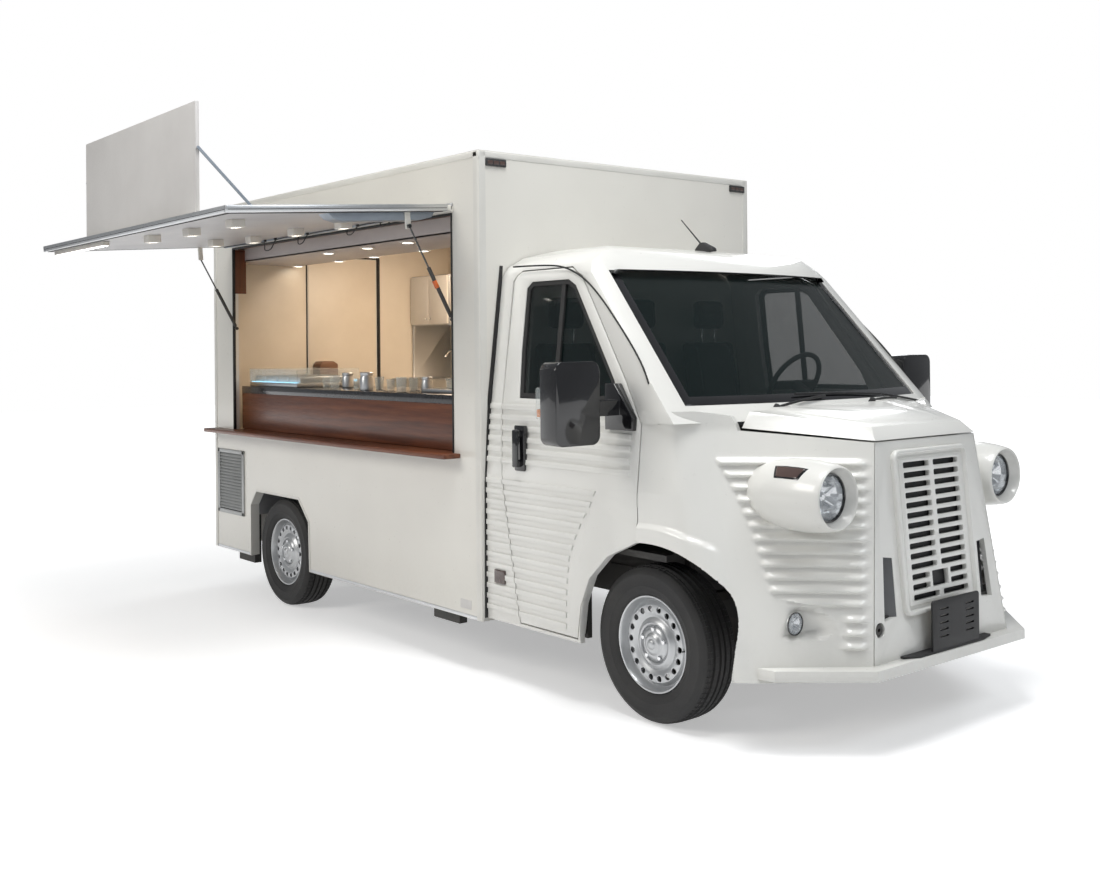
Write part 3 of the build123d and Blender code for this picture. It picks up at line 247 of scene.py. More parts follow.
def swept(name, points, radius, order=3, sides=3):
    "Round bar along a smooth line through control points, as a mesh."
    curve = bpy.data.curves.new(name, "CURVE")
    curve.dimensions = "3D"
    spline = curve.splines.new("NURBS")
    spline.points.add(len(points) - 1)
    for point, place in zip(spline.points, points):
        point.co = (*place, 1)
    spline.order_u = min(order, len(points))
    spline.use_endpoint_u = True
    curve.bevel_depth = radius
    curve.bevel_resolution = sides
    curve.use_fill_caps = True
    piece = bpy.data.objects.new(name, curve)
    bpy.context.scene.collection.objects.link(piece)
    pick(piece)
    bpy.ops.object.convert(target="MESH")
    return outward(bpy.context.active_object)


def pierced(piece, cutters):
    "A piece with other pieces cut out of it."
    cutter = merged(cutters, "cutter")
    pick(piece)
    cut = piece.modifiers.new("cut", "BOOLEAN")
    cut.operation = "DIFFERENCE"
    cut.solver = "EXACT"
    cut.object = cutter
    bpy.ops.object.modifier_apply(modifier=cut.name)
    bpy.data.objects.remove(cutter)
    return piece


def merged(pieces, name):
    "Several pieces joined in one mesh."
    deselect()
    for piece in pieces:
        piece.select_set(True)
    bpy.context.view_layer.objects.active = pieces[0]
    if len(pieces) > 1:
        bpy.ops.object.join()
    pieces[0].name = name
    return pieces[0]


def moved(piece, matrix):
    piece.data.transform(matrix)
    return piece


def copied(piece, name, matrix=Matrix.Identity(4)):
    "Copy with its own mesh, moved; a mirrored one gets its faces turned outwards again."
    twin = bpy.data.objects.new(name, piece.data.copy())
    bpy.context.scene.collection.objects.link(twin)
    twin.data.transform(matrix)
    if matrix.determinant() < 0:
        twin.data.flip_normals()
    return twin


def own_copy(node, name):
    "Copy of a solid's mesh in its place."
    piece = bpy.data.objects.new(name, nodes[node].data.copy())
    bpy.context.scene.collection.objects.link(piece)
    return piece


MIRROR = Matrix.Scale(-1, 4, (0, 1, 0))
SIDES = ((-1, "right"), (1, "left"))
FIXED = ("chassis", "chassis")
DOORS = ("door_right", "door_left")


def laid_on_hatch(piece):
    "Turns a piece modelled with y as minus the way out and z as the height over the hatch's axis."
    turn = Matrix.Rotation(HATCH_DROP, 4, "X")
    return moved(piece, Matrix.Translation((0, *HATCH_AXIS)) @ turn)


def settle(piece, body, material, smooth=35, stands_for=()):
    "Puts a finished mesh in the frame, with its finish and the body that it moves with."
    moved(piece, Matrix.Translation((AXLE_X, MIDDLE_Y, 0)))
    return dress(piece, body, material, smooth, stands_for)


def dress(piece, body, material, smooth=35, stands_for=()):
    "Gives a mesh that is in its place its finish and its body."
    pick(piece)
    bpy.ops.object.shade_smooth_by_angle(angle=math.radians(smooth))
    piece.data.materials.clear()
    piece.data.materials.append(material)
    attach(piece, body)
    if stands_for:
        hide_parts(*stands_for)
    return piece


def on_hatch(piece, material):
    "Settles a piece that is modelled about the hatch's axis."
    return settle(laid_on_hatch(piece), "hatch", material)


def pair(piece, name, bodies, material, smooth=35, stands_for=()):
    "Settles a right-hand piece and its mirror image on the left."
    twin = copied(piece, name + "_left", MIRROR)
    piece.name = name + "_right"
    settle(piece, bodies[0], material, smooth, stands_for)
    settle(twin, bodies[1], material, smooth, stands_for)


def softened(node, body, material, width):
    "Copy of a solid with its sharp edges rounded, standing for it."
    piece = own_copy(node, node + "_skin")
    edit(piece)
    bpy.ops.mesh.remove_doubles(threshold=WELD)
    bpy.ops.mesh.dissolve_limited(angle_limit=math.radians(1))
    leave()
    return dress(rounded(piece, width, 2, 30), body, material, 35, [node])


# Finishes

def material_base(name, roughness, metallic=0.0, **sockets):
    "New material; sockets are set on its own shader."
    made = bpy.data.materials.new(name)
    made.use_nodes = True
    shader = made.node_tree.nodes["Principled BSDF"]
    shader.inputs["Roughness"].default_value = roughness
    shader.inputs["Metallic"].default_value = metallic
    for socket, value in sockets.items():
        shader.inputs[socket.replace("_", " ")].default_value = value
    return made, shader


def add_node(made, kind, **values):
    node = made.node_tree.nodes.new(kind)
    for key, value in values.items():
        if hasattr(node, key):
            setattr(node, key, value)
        else:
            node.inputs[key.replace("_", " ")].default_value = value
    return node


def link(made, source, target):
    made.node_tree.links.new(source, target)


def stretched(made, scale=(1, 1, 1)):
    "Object coordinates, stretched for a grain or a brushed line."
    place = add_node(made, "ShaderNodeTexCoord")
    mapping = add_node(made, "ShaderNodeMapping")
    mapping.inputs["Scale"].default_value = scale
    link(made, place.outputs["Object"], mapping.inputs["Vector"])
    return mapping.outputs["Vector"]


def noise(made, vector, scale, detail=4.0, rough=0.55):
    node = add_node(made, "ShaderNodeTexNoise", Scale=scale, Detail=detail, Roughness=rough)
    link(made, vector, node.inputs["Vector"])
    return node.outputs["Fac"]


def ramp(made, factor, stops):
    "Colour ramp from (position, colour) stops."
    node = add_node(made, "ShaderNodeValToRGB")
    band = node.color_ramp
    while len(band.elements) < len(stops):
        band.elements.new(0.5)
    for element, (position, colour) in zip(band.elements, stops):
        element.position = position
        element.color = (*colour, 1)
    link(made, factor, node.inputs["Fac"])
    return node.outputs["Color"]


def spread(made, factor, low, high, start=0.3, stop=0.7):
    node = add_node(made, "ShaderNodeMapRange")
    node.inputs["From Min"].default_value = start
    node.inputs["From Max"].default_value = stop
    node.inputs["To Min"].default_value = low
    node.inputs["To Max"].default_value = high
    link(made, factor, node.inputs["Value"])
    return node.outputs["Result"]


def bumpy(made, shader, height, strength, distance=0.001):
    node = add_node(made, "ShaderNodeBump", Strength=strength, Distance=distance)
    link(made, height, node.inputs["Height"])
    link(made, node.outputs["Normal"], shader.inputs["Normal"])


def mixed(made, factor, first, second):
    node = add_node(made, "ShaderNodeMix", data_type="RGBA")
    link(made, factor, node.inputs["Factor"])
    link(made, first, node.inputs[6])
    link(made, second, node.inputs[7])
    return node.outputs[2]


def plain_finish(name, low, high, roughness, grain=(40.0, 0.08), metallic=0.0, patch=3.0, **sockets):
    "Finish that wanders between two colours, with a fine grain and uneven sheen."
    made, shader = material_base(name, sum(roughness) / 2, metallic, **sockets)
    vector = stretched(made)
    wander = noise(made, vector, patch)
    link(made, ramp(made, wander, [(0.3, low), (0.7, high)]), shader.inputs["Base Color"])
    fine = noise(made, vector, grain[0] * 8, 6.0)
    link(made, spread(made, fine, *roughness), shader.inputs["Roughness"])
    bumpy(made, shader, fine, grain[1])
    return made


def paint_finish(name, low, high, low_colour=(0.42, 0.4, 0.36)):
    """Glossy paint with a faint orange peel, darker towards the ground with brownish grey specks."""
    made, shader = material_base(name, 0.32, Coat_Weight=0.55, Coat_Roughness=0.07, IOR=1.5)
    vector = stretched(made)
    wander = noise(made, vector, 0.9, 3.0)
    colour = ramp(made, wander, [(0.35, low), (0.65, high)])
    # Brownish grey mixed into the paint in specks, more of it towards the ground: the paint is darker
    # towards the bottom.
    split = add_node(made, "ShaderNodeSeparateXYZ")
    link(made, vector, split.inputs["Vector"])
    low_down = spread(made, split.outputs["Z"], 0.28, 0.0, 0.25, 0.62)
    specks = noise(made, vector, 34.0, 8.0, 0.7)
    low_mix = add_node(made, "ShaderNodeMath", operation="MULTIPLY")
    link(made, low_down, low_mix.inputs[0])
    link(made, specks, low_mix.inputs[1])
    low_colour_node = add_node(made, "ShaderNodeRGB")
    low_colour_node.outputs[0].default_value = (*low_colour, 1)
    link(made, mixed(made, low_mix.outputs[0], colour, low_colour_node.outputs[0]), shader.inputs["Base Color"])
    link(made, spread(made, specks, 0.26, 0.38), shader.inputs["Roughness"])
    bumpy(made, shader, noise(made, vector, 420.0, 2.0), 0.02, 0.0004)
    return made


def wood_finish(name, along="X"):
    "Oiled wood with long grain and darker streaks."
    made, shader = material_base(name, 0.38, Coat_Weight=0.25, Coat_Roughness=0.2)
    stretch = (1.2, 22, 22) if along == "X" else (22, 22, 1.2)
    vector = stretched(made, stretch)
    streaks = noise(made, vector, 1.6, 8.0, 0.62)
    colour = ramp(made, streaks, [(0.28, (0.06, 0.016, 0.005)), (0.5, (0.125, 0.034, 0.011)),
            (0.72, (0.19, 0.062, 0.022))])
    link(made, colour, shader.inputs["Base Color"])
    pores = noise(made, vector, 9.0, 6.0, 0.6)
    link(made, spread(made, pores, 0.3, 0.48), shader.inputs["Roughness"])
    bumpy(made, shader, pores, 0.12, 0.0008)
    return made


def brushed_finish(name, low, high, stretch, roughness=(0.24, 0.42)):
    "Metal with fine lines in one direction."
    made, shader = material_base(name, 0.3, 1.0)
    vector = stretched(made, stretch)
    lines = noise(made, vector, 30.0, 6.0, 0.7)
    link(made, ramp(made, lines, [(0.25, low), (0.75, high)]), shader.inputs["Base Color"])
    link(made, spread(made, lines, *roughness), shader.inputs["Roughness"])
    bumpy(made, shader, lines, 0.05, 0.0005)
    return made


def glass_finish(name, colour, alpha, roughness=0.02):
    "Tinted glass: mostly see-through, with a clear gloss and faint smears."
    made, shader = material_base(name, roughness, Alpha=alpha, IOR=1.45, Coat_Weight=0.15,
            Coat_Roughness=0.02)
    vector = stretched(made, (1, 1, 2))
    smear = noise(made, vector, 5.0, 5.0)
    low = [part * 0.85 for part in colour]
    link(made, ramp(made, smear, [(0.3, low), (0.7, colour)]), shader.inputs["Base Color"])
    link(made, spread(made, smear, roughness, roughness + 0.05), shader.inputs["Roughness"])
    return made


def glow_finish(name, colour, strength):
    "Lit lamp face with a faint unevenness."
    made, shader = material_base(name, 0.4)
    shader.inputs["Emission Strength"].default_value = strength
    vector = stretched(made)
    warm = [part * 0.9 for part in colour]
    glow = ramp(made, noise(made, vector, 25.0), [(0.2, warm), (0.8, colour)])
    link(made, glow, shader.inputs["Emission Color"])
    link(made, glow, shader.inputs["Base Color"])
    return made


def weave_finish(name, low, high, threads=700.0):
    "Woven cloth: two sets of threads over a wandering tone."
    made, shader = material_base(name, 0.9, Sheen_Weight=0.3, Sheen_Roughness=0.5)
    vector = stretched(made)
    across = add_node(made, "ShaderNodeTexWave", bands_direction="X", Scale=threads / 6.28, Distortion=0.6)
    upward = add_node(made, "ShaderNodeTexWave", bands_direction="Z", Scale=threads / 6.28, Distortion=0.6)
    link(made, vector, across.inputs["Vector"])
    link(made, vector, upward.inputs["Vector"])
    cloth = add_node(made, "ShaderNodeMath", operation="MAXIMUM")
    link(made, across.outputs["Fac"], cloth.inputs[0])
    link(made, upward.outputs["Fac"], cloth.inputs[1])
    tone = add_node(made, "ShaderNodeMath", operation="MULTIPLY")
    link(made, cloth.outputs[0], tone.inputs[0])
    link(made, noise(made, vector, 6.0), tone.inputs[1])
    link(made, ramp(made, tone.outputs[0], [(0.1, low), (0.7, high)]), shader.inputs["Base Color"])
    bumpy(made, shader, cloth.outputs[0], 0.3, 0.0006)
    return made


body_paint = paint_finish("body_paint", (0.74, 0.735, 0.7), (0.8, 0.795, 0.76))
box_paint = paint_finish("box_paint", (0.72, 0.7, 0.65), (0.77, 0.755, 0.7))
lining = plain_finish("box_lining", (0.74, 0.66, 0.54), (0.8, 0.72, 0.6), (0.28, 0.42), (20.0, 0.03))
chassis_paint = plain_finish("chassis_paint", (0.022, 0.021, 0.02), (0.055, 0.052, 0.048), (0.45, 0.75))
cast_metal = plain_finish("cast_metal", (0.1, 0.1, 0.1), (0.2, 0.195, 0.185), (0.5, 0.75), (50.0, 0.25), 0.6)
forged_steel = plain_finish("forged_steel", (0.05, 0.048, 0.045), (0.12, 0.11, 0.1), (0.45, 0.7),
        (40.0, 0.2), 0.7)
tread_rubber = plain_finish("tread_rubber", (0.012, 0.012, 0.013), (0.028, 0.027, 0.026), (0.55, 0.78),
        (60.0, 0.12))
rim_silver = plain_finish("rim_silver", (0.42, 0.43, 0.44), (0.56, 0.57, 0.58), (0.28, 0.4), (60.0, 0.05),
        0.75)
chrome = plain_finish("chrome", (0.66, 0.67, 0.68), (0.8, 0.81, 0.82), (0.08, 0.16), (30.0, 0.02), 1.0)
black_gloss = plain_finish("black_gloss", (0.006, 0.006, 0.007), (0.014, 0.014, 0.016), (0.06, 0.14),
        (20.0, 0.02), Coat_Weight=0.5)
black_plastic = plain_finish("black_plastic", (0.014, 0.014, 0.015), (0.03, 0.03, 0.031), (0.5, 0.7),
        (60.0, 0.3))
seal_rubber = plain_finish("seal_rubber", (0.01, 0.01, 0.01), (0.02, 0.02, 0.02), (0.6, 0.8), (50.0, 0.1))
cab_plastic = plain_finish("cab_plastic", (0.025, 0.026, 0.028), (0.045, 0.046, 0.05), (0.55, 0.75),
        (70.0, 0.35))
seat_cloth = weave_finish("seat_cloth", (0.02, 0.02, 0.023), (0.06, 0.06, 0.066))
floor_sheet = plain_finish("floor_sheet", (0.2, 0.2, 0.21), (0.3, 0.3, 0.31), (0.45, 0.65), (30.0, 0.2))
wood = wood_finish("counter_wood")
stainless = brushed_finish("stainless", (0.46, 0.47, 0.48), (0.68, 0.69, 0.7), (1, 30, 30))
white_unit = plain_finish("white_unit", (0.68, 0.65, 0.6), (0.76, 0.73, 0.67), (0.25, 0.4), (20.0, 0.03))
aluminium = brushed_finish("aluminium", (0.5, 0.51, 0.52), (0.7, 0.71, 0.72), (1, 40, 40))
sign_sheet = plain_finish("sign_sheet", (0.6, 0.585, 0.57), (0.66, 0.645, 0.63), (0.3, 0.45), (20.0, 0.03))
stay_paint = plain_finish("stay_paint", (0.24, 0.28, 0.33), (0.34, 0.38, 0.43), (0.35, 0.5), (30.0, 0.05),
        0.4)
red_lens = plain_finish("red_lens", (0.4, 0.012, 0.01), (0.55, 0.02, 0.016), (0.06, 0.14), (20.0, 0.02),
        Coat_Weight=0.8)
amber_lens = plain_finish("amber_lens", (0.6, 0.17, 0.015), (0.75, 0.24, 0.03), (0.06, 0.14), (20.0, 0.02),
        Coat_Weight=0.8)
smoked_lens = plain_finish("smoked_lens", (0.05, 0.03, 0.026), (0.1, 0.06, 0.05), (0.08, 0.2), (40.0, 0.05),
        Coat_Weight=0.8)
tank_plastic = plain_finish("tank_plastic", (0.02, 0.02, 0.021), (0.04, 0.039, 0.038), (0.5, 0.7),
        (30.0, 0.2))
pocket_grey = plain_finish("pocket_grey", (0.1, 0.103, 0.108), (0.15, 0.153, 0.158), (0.45, 0.6),
        (30.0, 0.05))
trim_paint = plain_finish("trim_paint", (0.66, 0.65, 0.61), (0.72, 0.71, 0.67), (0.26, 0.38), (40.0, 0.03))
reveal_wood = wood_finish("reveal_wood", "Z")
vent_grey = plain_finish("vent_grey", (0.36, 0.37, 0.37), (0.46, 0.47, 0.47), (0.35, 0.5), (40.0, 0.05), 0.3)
ceiling_grey = plain_finish("ceiling_grey", (0.46, 0.41, 0.4), (0.54, 0.49, 0.47), (0.35, 0.5), (20.0, 0.03))
counter_stone = plain_finish("counter_stone", (0.01, 0.01, 0.011), (0.05, 0.05, 0.055), (0.08, 0.18),
        (60.0, 0.03), patch=120.0)
brown_plastic = plain_finish("brown_plastic", (0.16, 0.075, 0.04), (0.22, 0.11, 0.06), (0.3, 0.45),
        (30.0, 0.05))
hatch_grey = plain_finish("hatch_grey", (0.5, 0.49, 0.5), (0.58, 0.57, 0.57), (0.35, 0.5), (20.0, 0.03))
orange_plastic = plain_finish("orange_plastic", (0.55, 0.1, 0.015), (0.68, 0.15, 0.03), (0.3, 0.45),
        (30.0, 0.05))
amber_glow = glow_finish("amber_glow", (1.0, 0.3, 0.04), 2.0)
mirror_silver = plain_finish("mirror_silver", (0.8, 0.81, 0.82), (0.88, 0.89, 0.9), (0.02, 0.05),
        (10.0, 0.01), 1.0)
cab_glass = glass_finish("cab_glass", (0.006, 0.014, 0.014), 0.46)
lamp_glass = glass_finish("lamp_glass", (0.75, 0.8, 0.84), 0.18)
clear_glass = glass_finish("clear_glass", (0.8, 0.88, 0.88), 0.22)
spot_glow = glow_finish("spot_glow", (1.0, 0.97, 0.9), 7.0)
blue_glow = glow_finish("blue_glow", (0.35, 0.75, 1.0), 2.0)

SLOT_FINISHES = {
    "body_paint": body_paint, "chassis_black": chassis_paint, "engine": cast_metal,
    "suspension": forged_steel, "tyre": tread_rubber, "rim_steel": rim_silver, "cab_glass": cab_glass,
    "lamp_glass": lamp_glass, "black_gloss": black_gloss, "black_matte": black_plastic,
    "dashboard": cab_plastic, "seat_cloth": seat_cloth, "box_skin": box_paint, "floor": floor_sheet,
    "wood": wood, "steel": stainless, "white_unit": white_unit, "aluminium": aluminium, "sign": sign_sheet,
    "stay_grey": stay_paint, "red_lamp": red_lens, "tank": tank_plastic,
}
slot_of = {part["node"]: part["material_slot"] for part in frame["record"]["subparts"]}
for node_name, node in nodes.items():
    node.data.materials.clear()
    node.data.materials.append(SLOT_FINISHES[slot_of[node_name]])

body_of = {node_name: body for body, names in frame["record"]["behaviour"]["bodies"].items()
           for node_name in names}
SOFT_EDGES = {
    "cab_shell": 0.004, "nose_panel": 0.004, "bonnet": 0.014, "door_right": 0.004, "door_left": 0.004,
    "bumper": 0.01, "mirror_right": 0.014, "mirror_left": 0.014, "shelf": 0.004, "hatch": 0.002,
    "sign_panel": 0.003, "dashboard": 0.014, "counter": 0.003, "galley": 0.004,
}
for node_name, width in SOFT_EDGES.items():
    finish = box_paint if node_name == "hatch" else SLOT_FINISHES[slot_of[node_name]]
    softened(node_name, body_of[node_name], finish, width)


# Wheels

def make_tyre():
    "Road tyre about the Y axis at the origin, its outer side to minus Y."
    half = [(0.221, -0.084), (0.228, -0.094), (0.24, -0.1), (0.262, -0.106), (0.264, -0.1075),
            (0.268, -0.1075), (0.27, -0.107), (0.292, -0.1095), (0.312, -0.108), (0.315, -0.109),
            (0.32, -0.1085), (0.323, -0.107), (0.338, -0.1), (0.349, -0.088), (0.3545, -0.074),
            (0.356, -0.058), (0.348, -0.056), (0.348, -0.048), (0.3575, -0.046), (0.358, -0.022),
            (0.349, -0.02), (0.349, -0.011), (0.358, -0.009)]
    profile = half + [(radius, -y) for radius, y in reversed(half)]
    tyre = turned("tyre", profile + [profile[0]], (0, 0, 0), 80)
    for low, high, gap, rise in ((0.062, 0.0935, 0.0022, 0.003), (0.024, 0.0455, 0.0012, 0.0012)):
        choose_faces(tyre, lambda centre, normal: low < abs(centre.y) < high
                     and math.hypot(centre.x, centre.z) > 0.347
                     and (normal.x * centre.x + normal.z * centre.z) > 0.18)
        bpy.ops.mesh.inset(thickness=gap, use_individual=True)
        bpy.ops.transform.shrink_fatten(value=-rise)
        bpy.ops.mesh.select_all(action="INVERT")
        leave()
    return tyre


def make_rim():
    "Pressed steel wheel about the Y axis at the origin: flange, ring of round holes, raised centre."
    profile = [(0.2195, 0.084), (0.2195, 0.088), (0.213, 0.087), (0.2075, 0.078), (0.205, 0.06),
            (0.186, 0.048), (0.186, -0.03), (0.2, -0.046), (0.205, -0.06), (0.2075, -0.079),
            (0.213, -0.0875), (0.2195, -0.0885), (0.2205, -0.0855), (0.216, -0.0835), (0.2115, -0.076),
            (0.2095, -0.058)]
    profile = profile + [(0.2095, 0.058), (0.2115, 0.076), (0.2165, 0.0835), (0.2195, 0.084)]
    barrel = turned("rim", profile, (0, 0, 0), 72)
    dish = [(0.203, -0.044), (0.192, -0.047), (0.184, -0.056), (0.176, -0.0655), (0.158, -0.069),
            (0.138, -0.0655), (0.128, -0.058), (0.12, -0.056), (0.113, -0.061), (0.104, -0.071),
            (0.095, -0.074), (0.088, -0.071), (0.084, -0.06), (0.04, -0.058), (0.04, -0.05),
            (0.084, -0.052), (0.094, -0.066), (0.108, -0.06), (0.12, -0.048), (0.136, -0.056),
            (0.158, -0.06), (0.174, -0.057), (0.19, -0.04), (0.203, -0.036), (0.203, -0.044)]
    disc = turned("disc", dish, (0, 0, 0), 72)
    holes = []
    for k in range(18):
        turn = math.tau * k / 18
        x, z = 0.158 * math.cos(turn), 0.158 * math.sin(turn)
        holes.append(bar("hole", (x, -0.09, z), (x, -0.03, z), 0.0142, 20))
    disc = pierced(disc, holes)
    return merged([rounded(disc, 0.0012, 2, 50), barrel], "rim")


def make_cap():
    "Bright centre cap with stepped rings and a small dome."
    profile = [(0.0, -0.0985), (0.01, -0.0982), (0.019, -0.0955), (0.022, -0.0925), (0.024, -0.0895),
            (0.029, -0.0885), (0.033, -0.0895), (0.037, -0.0885), (0.046, -0.0845), (0.05, -0.079),
            (0.055, -0.0775), (0.06, -0.078), (0.066, -0.075), (0.078, -0.069), (0.083, -0.06), (0.0, -0.06)]
    return turned("cap", profile, (0, 0, 0), 64)


def make_nuts():
    "Ring of wheel nuts with rounded heads."
    nuts = []
    for k in range(5):
        turn = math.tau * k / 5 + 0.3
        x, z = 0.069 * math.cos(turn), 0.069 * math.sin(turn)
        nut = bar("nut", (x, -0.062, z), (x, -0.083, z), 0.0115, 6, 0.0015)
        nuts.append(nut)
    return merged(nuts, "nuts")


def make_valve():
    return bar("valve", (0.196, -0.046, 0), (0.188, -0.082, 0), 0.0042, 12, 0.001, 0.003)


def dress_wheels():
    tyre, rim, cap, nuts, valve = make_tyre(), make_rim(), make_cap(), make_nuts(), make_valve()
    places = {
        "fr": ("wheel_front_right", 0, -FRONT_TYRE_Y, 0),
        "fl": ("wheel_front_left", 0, FRONT_TYRE_Y, math.pi),
        "rr": ("wheel_rear_right", -WHEELBASE, -REAR_TYRE_Y, 0),
        "rl": ("wheel_rear_left", -WHEELBASE, REAR_TYRE_Y, math.pi),
    }
    for key, (body, x, y, turn) in places.items():
        spot = Matrix.Translation((x, y, TYRE_R)) @ Matrix.Rotation(turn, 4, "Z")
        settle(copied(tyre, "road_tyre_" + key, spot), body, tread_rubber, 30, ["tyre_" + key])
        settle(copied(rim, "steel_wheel_" + key, spot), body, rim_silver, 30, ["rim_" + key])
        settle(copied(cap, "wheel_cap_" + key, spot), body, rim_silver, 40)
        settle(copied(nuts, "wheel_nuts_" + key, spot), body, chrome, 30)
        settle(copied(valve, "wheel_valve_" + key, spot), body, black_plastic, 30)
    for master in (tyre, rim, cap, nuts, valve):
        bpy.data.objects.remove(master)


dress_wheels()


# Nose: fender and cheek in one skin, with pressed ribs, wheel arch and lamp scoop

NOSE_LOW_Z, NOSE_WAIST_Z, NOSE_HIGH_Z = 0.3, 1.06, 1.345
NOSE_PLANS = {
    NOSE_LOW_Z: [(0.002, 1.02), (0.35, 1.02), (0.505, 1.01), (0.64, 0.87), (0.905, 0.53)],
    NOSE_WAIST_Z: [(0.002, 1.02), (0.205, 1.012), (0.287, 0.952), (0.4145, 0.75), (0.8395, 0.421)],
    NOSE_HIGH_Z: [(0.002, 0.99), (0.15, 0.982), (0.205, 0.93), (0.33, 0.705), (0.815, 0.38)],
}
ARCH_EDGE = [(-0.33, 0.24), (-0.326, 0.42), (-0.3, 0.56), (-0.252, 0.665), (-0.186, 0.752), (-0.1, 0.808),
        (-0.005, 0.83), (0.108, 0.834), (0.215, 0.82), (0.31, 0.788), (0.382, 0.742), (0.44, 0.682),
        (0.482, 0.606), (0.51, 0.51), (0.526, 0.4), (0.534, 0.24)]
RIB_LEFT = [(1.236, 0.645), (1.129, 0.705), (1.019, 0.739), (0.908, 0.764), (0.798, 0.78), (0.636, 0.801),
        (0.58, 0.944), (0.44, 0.94)]
CHEEK_RIBS = [0.621 + 0.0531 * k for k in range(12)]
SHORT_RIBS = [0.556, 0.501, 0.447]
SKIN_COLUMNS = 150
NOSE_RIB_OUT = 0.019
RIB_ROWS = (-0.0205, -0.018, -0.015, -0.012, -0.0085, -0.003, 0.003, 0.009, 0.015, 0.02)


def smooth_step(value):
    value = max(0.0, min(1.0, value))
    return value * value * (3 - 2 * value)


def between(points, value):
    "Straight interpolation in a table of (value, result), whichever way it runs."
    ordered = sorted(points)
    if value <= ordered[0][0]:
        return ordered[0][1]
    for (low, first), (high, second) in zip(ordered, ordered[1:]):
        if value <= high:
            return first + (second - first) * (value - low) / (high - low)
    return ordered[-1][1]


def nose_plan(z):
    low, high = (NOSE_LOW_Z, NOSE_WAIST_Z) if z <= NOSE_WAIST_Z else (NOSE_WAIST_Z, NOSE_HIGH_Z)
    share = min(1.0, (z - low) / (high - low))
    return [Vector(first).lerp(Vector(second), share) for first,
            second in zip(NOSE_PLANS[low], NOSE_PLANS[high])]


def nose_point(along, z):
    "Point of the bare skin: along from the door to the front corner, at a height."
    plan = nose_plan(z)
    middles = [plan[0], (plan[1] + plan[2]) / 2, (plan[2] + plan[3]) / 2, plan[4]]
    run = min(int(along * 3), 2)
    share = along * 3 - run
    first, knee, last = middles[run], plan[run + 1], middles[run + 1]
    spot = first * (1 - share) ** 2 + knee * (2 * share * (1 - share)) + last * share ** 2
    return Vector((spot.x, -spot.y, z))


def nose_normal(along, z):
    side = nose_point(min(along + 0.004, 1), z) - nose_point(max(along - 0.004, 0), z)
    rise = nose_point(along, z + 0.004) - nose_point(along, z - 0.004)
    return side.cross(rise).normalized()


def rib_height(along, z):
    "How far the pressed ribs lift the skin at a place: steep below, falling slowly above."
    for rib in CHEEK_RIBS + SHORT_RIBS:
        off = z - rib
        if RIB_ROWS[0] < off < RIB_ROWS[-1]:
            start = between(RIB_LEFT, z)
            ends = smooth_step((along - start) / 0.022) * smooth_step((0.993 - along) / 0.012)
            rise = smooth_step((off - RIB_ROWS[0]) / 0.0085)
            fall = smooth_step((RIB_ROWS[-1] - off) / 0.03)
            return NOSE_RIB_OUT * ends * min(rise, fall)
    return 0.0


def skin_heights():
    "Heights of the skin's rows, close together on the ribs; above them they spread to the upper edge."
    heights = [NOSE_LOW_Z + 0.012 * k for k in range(11)]
    for rib in sorted(CHEEK_RIBS + SHORT_RIBS):
        heights += [rib + off for off in RIB_ROWS]
    return sorted(heights + [1.236 + 0.01 * k for k in range(9)])


def smooth_line(points, parts=5):
    "More points along a rounded line through the ones given."
    spots = [Vector(point) for point in points]
    spots = [spots[0] * 2 - spots[1]] + spots + [spots[-1] * 2 - spots[-2]]
    line = []
    for before, first, last, after in zip(spots, spots[1:], spots[2:], spots[3:]):
        for part in range(parts):
            t = part / parts
            bend = before * 2 - first * 5 + last * 4 - after
            twist = first * 3 - before - last * 3 + after
            line.append((first * 2 + (last - before) * t + bend * t ** 2 + twist * t ** 3) / 2)
    return line + [spots[-2]]


ARCH_LINE = smooth_line(ARCH_EDGE)
ARCH_TABLE = [tuple(spot) for spot in ARCH_LINE]


def nearest_on_arch(x, z):
    spot = Vector((x, z))
    best = None
    for first, last in zip(ARCH_LINE, ARCH_LINE[1:]):
        run = last - first
        share = max(0.0, min(1.0, (spot - first).dot(run) / run.length_squared))
        near = first + run * share
        if best is None or (spot - near).length < (spot - best).length:
            best = near
    return best


def arch_distance(x, z):
    "Distance to the wheel arch's edge, below zero inside the arch."
    if x > 0.72 or z > 1.0:
        return 1.0
    best = (Vector((x, z)) - nearest_on_arch(x, z)).length
    inside = ARCH_LINE[0].x < x < ARCH_LINE[-1].x and z < between(ARCH_TABLE, x)
    return -best if inside else best


def flare_height(x, z):
    "Raised band round the wheel arch, with a soft outer edge."
    off = arch_distance(x, z)
    if off < 0:
        return 0.016
    return 0.016 * (1 - smooth_step((off - 0.062) / 0.03))


def scoop_depth(spot):
    "Depth along minus X of the hollow in front of the fog lamp, from a point of the bare skin."
    up = (spot.z - FOG_Z + 0.004) / 0.062
    inner, outer = -0.79, -0.615
    across = (spot.y - inner) / (outer - inner)
    if abs(up) >= 1 or across <= 0 or across >= 1:
        return 0.0
    half = 1.0 if across < 0.45 else math.sqrt(max(0.0, 1 - ((across - 0.45) / 0.55) ** 2))
    edge = smooth_step((half - abs(up)) / 0.14) * smooth_step(across / 0.05)
    floor_x = 0.634 + 0.131 * max(0.0, (across - 0.5) / 0.5) ** 2.0
    return edge * max(0.0, spot.x - floor_x)


def nose_top(x):
    "Height of the skin's upper edge, under the cowl and the bonnet's shut line."
    if x > 0.345:
        return 1.338 - 0.1002 * (x - 0.327)
    return between([(0.0, 1.424), (0.23, 1.424), (0.325, 1.4), (0.345, 1.3362)], x)


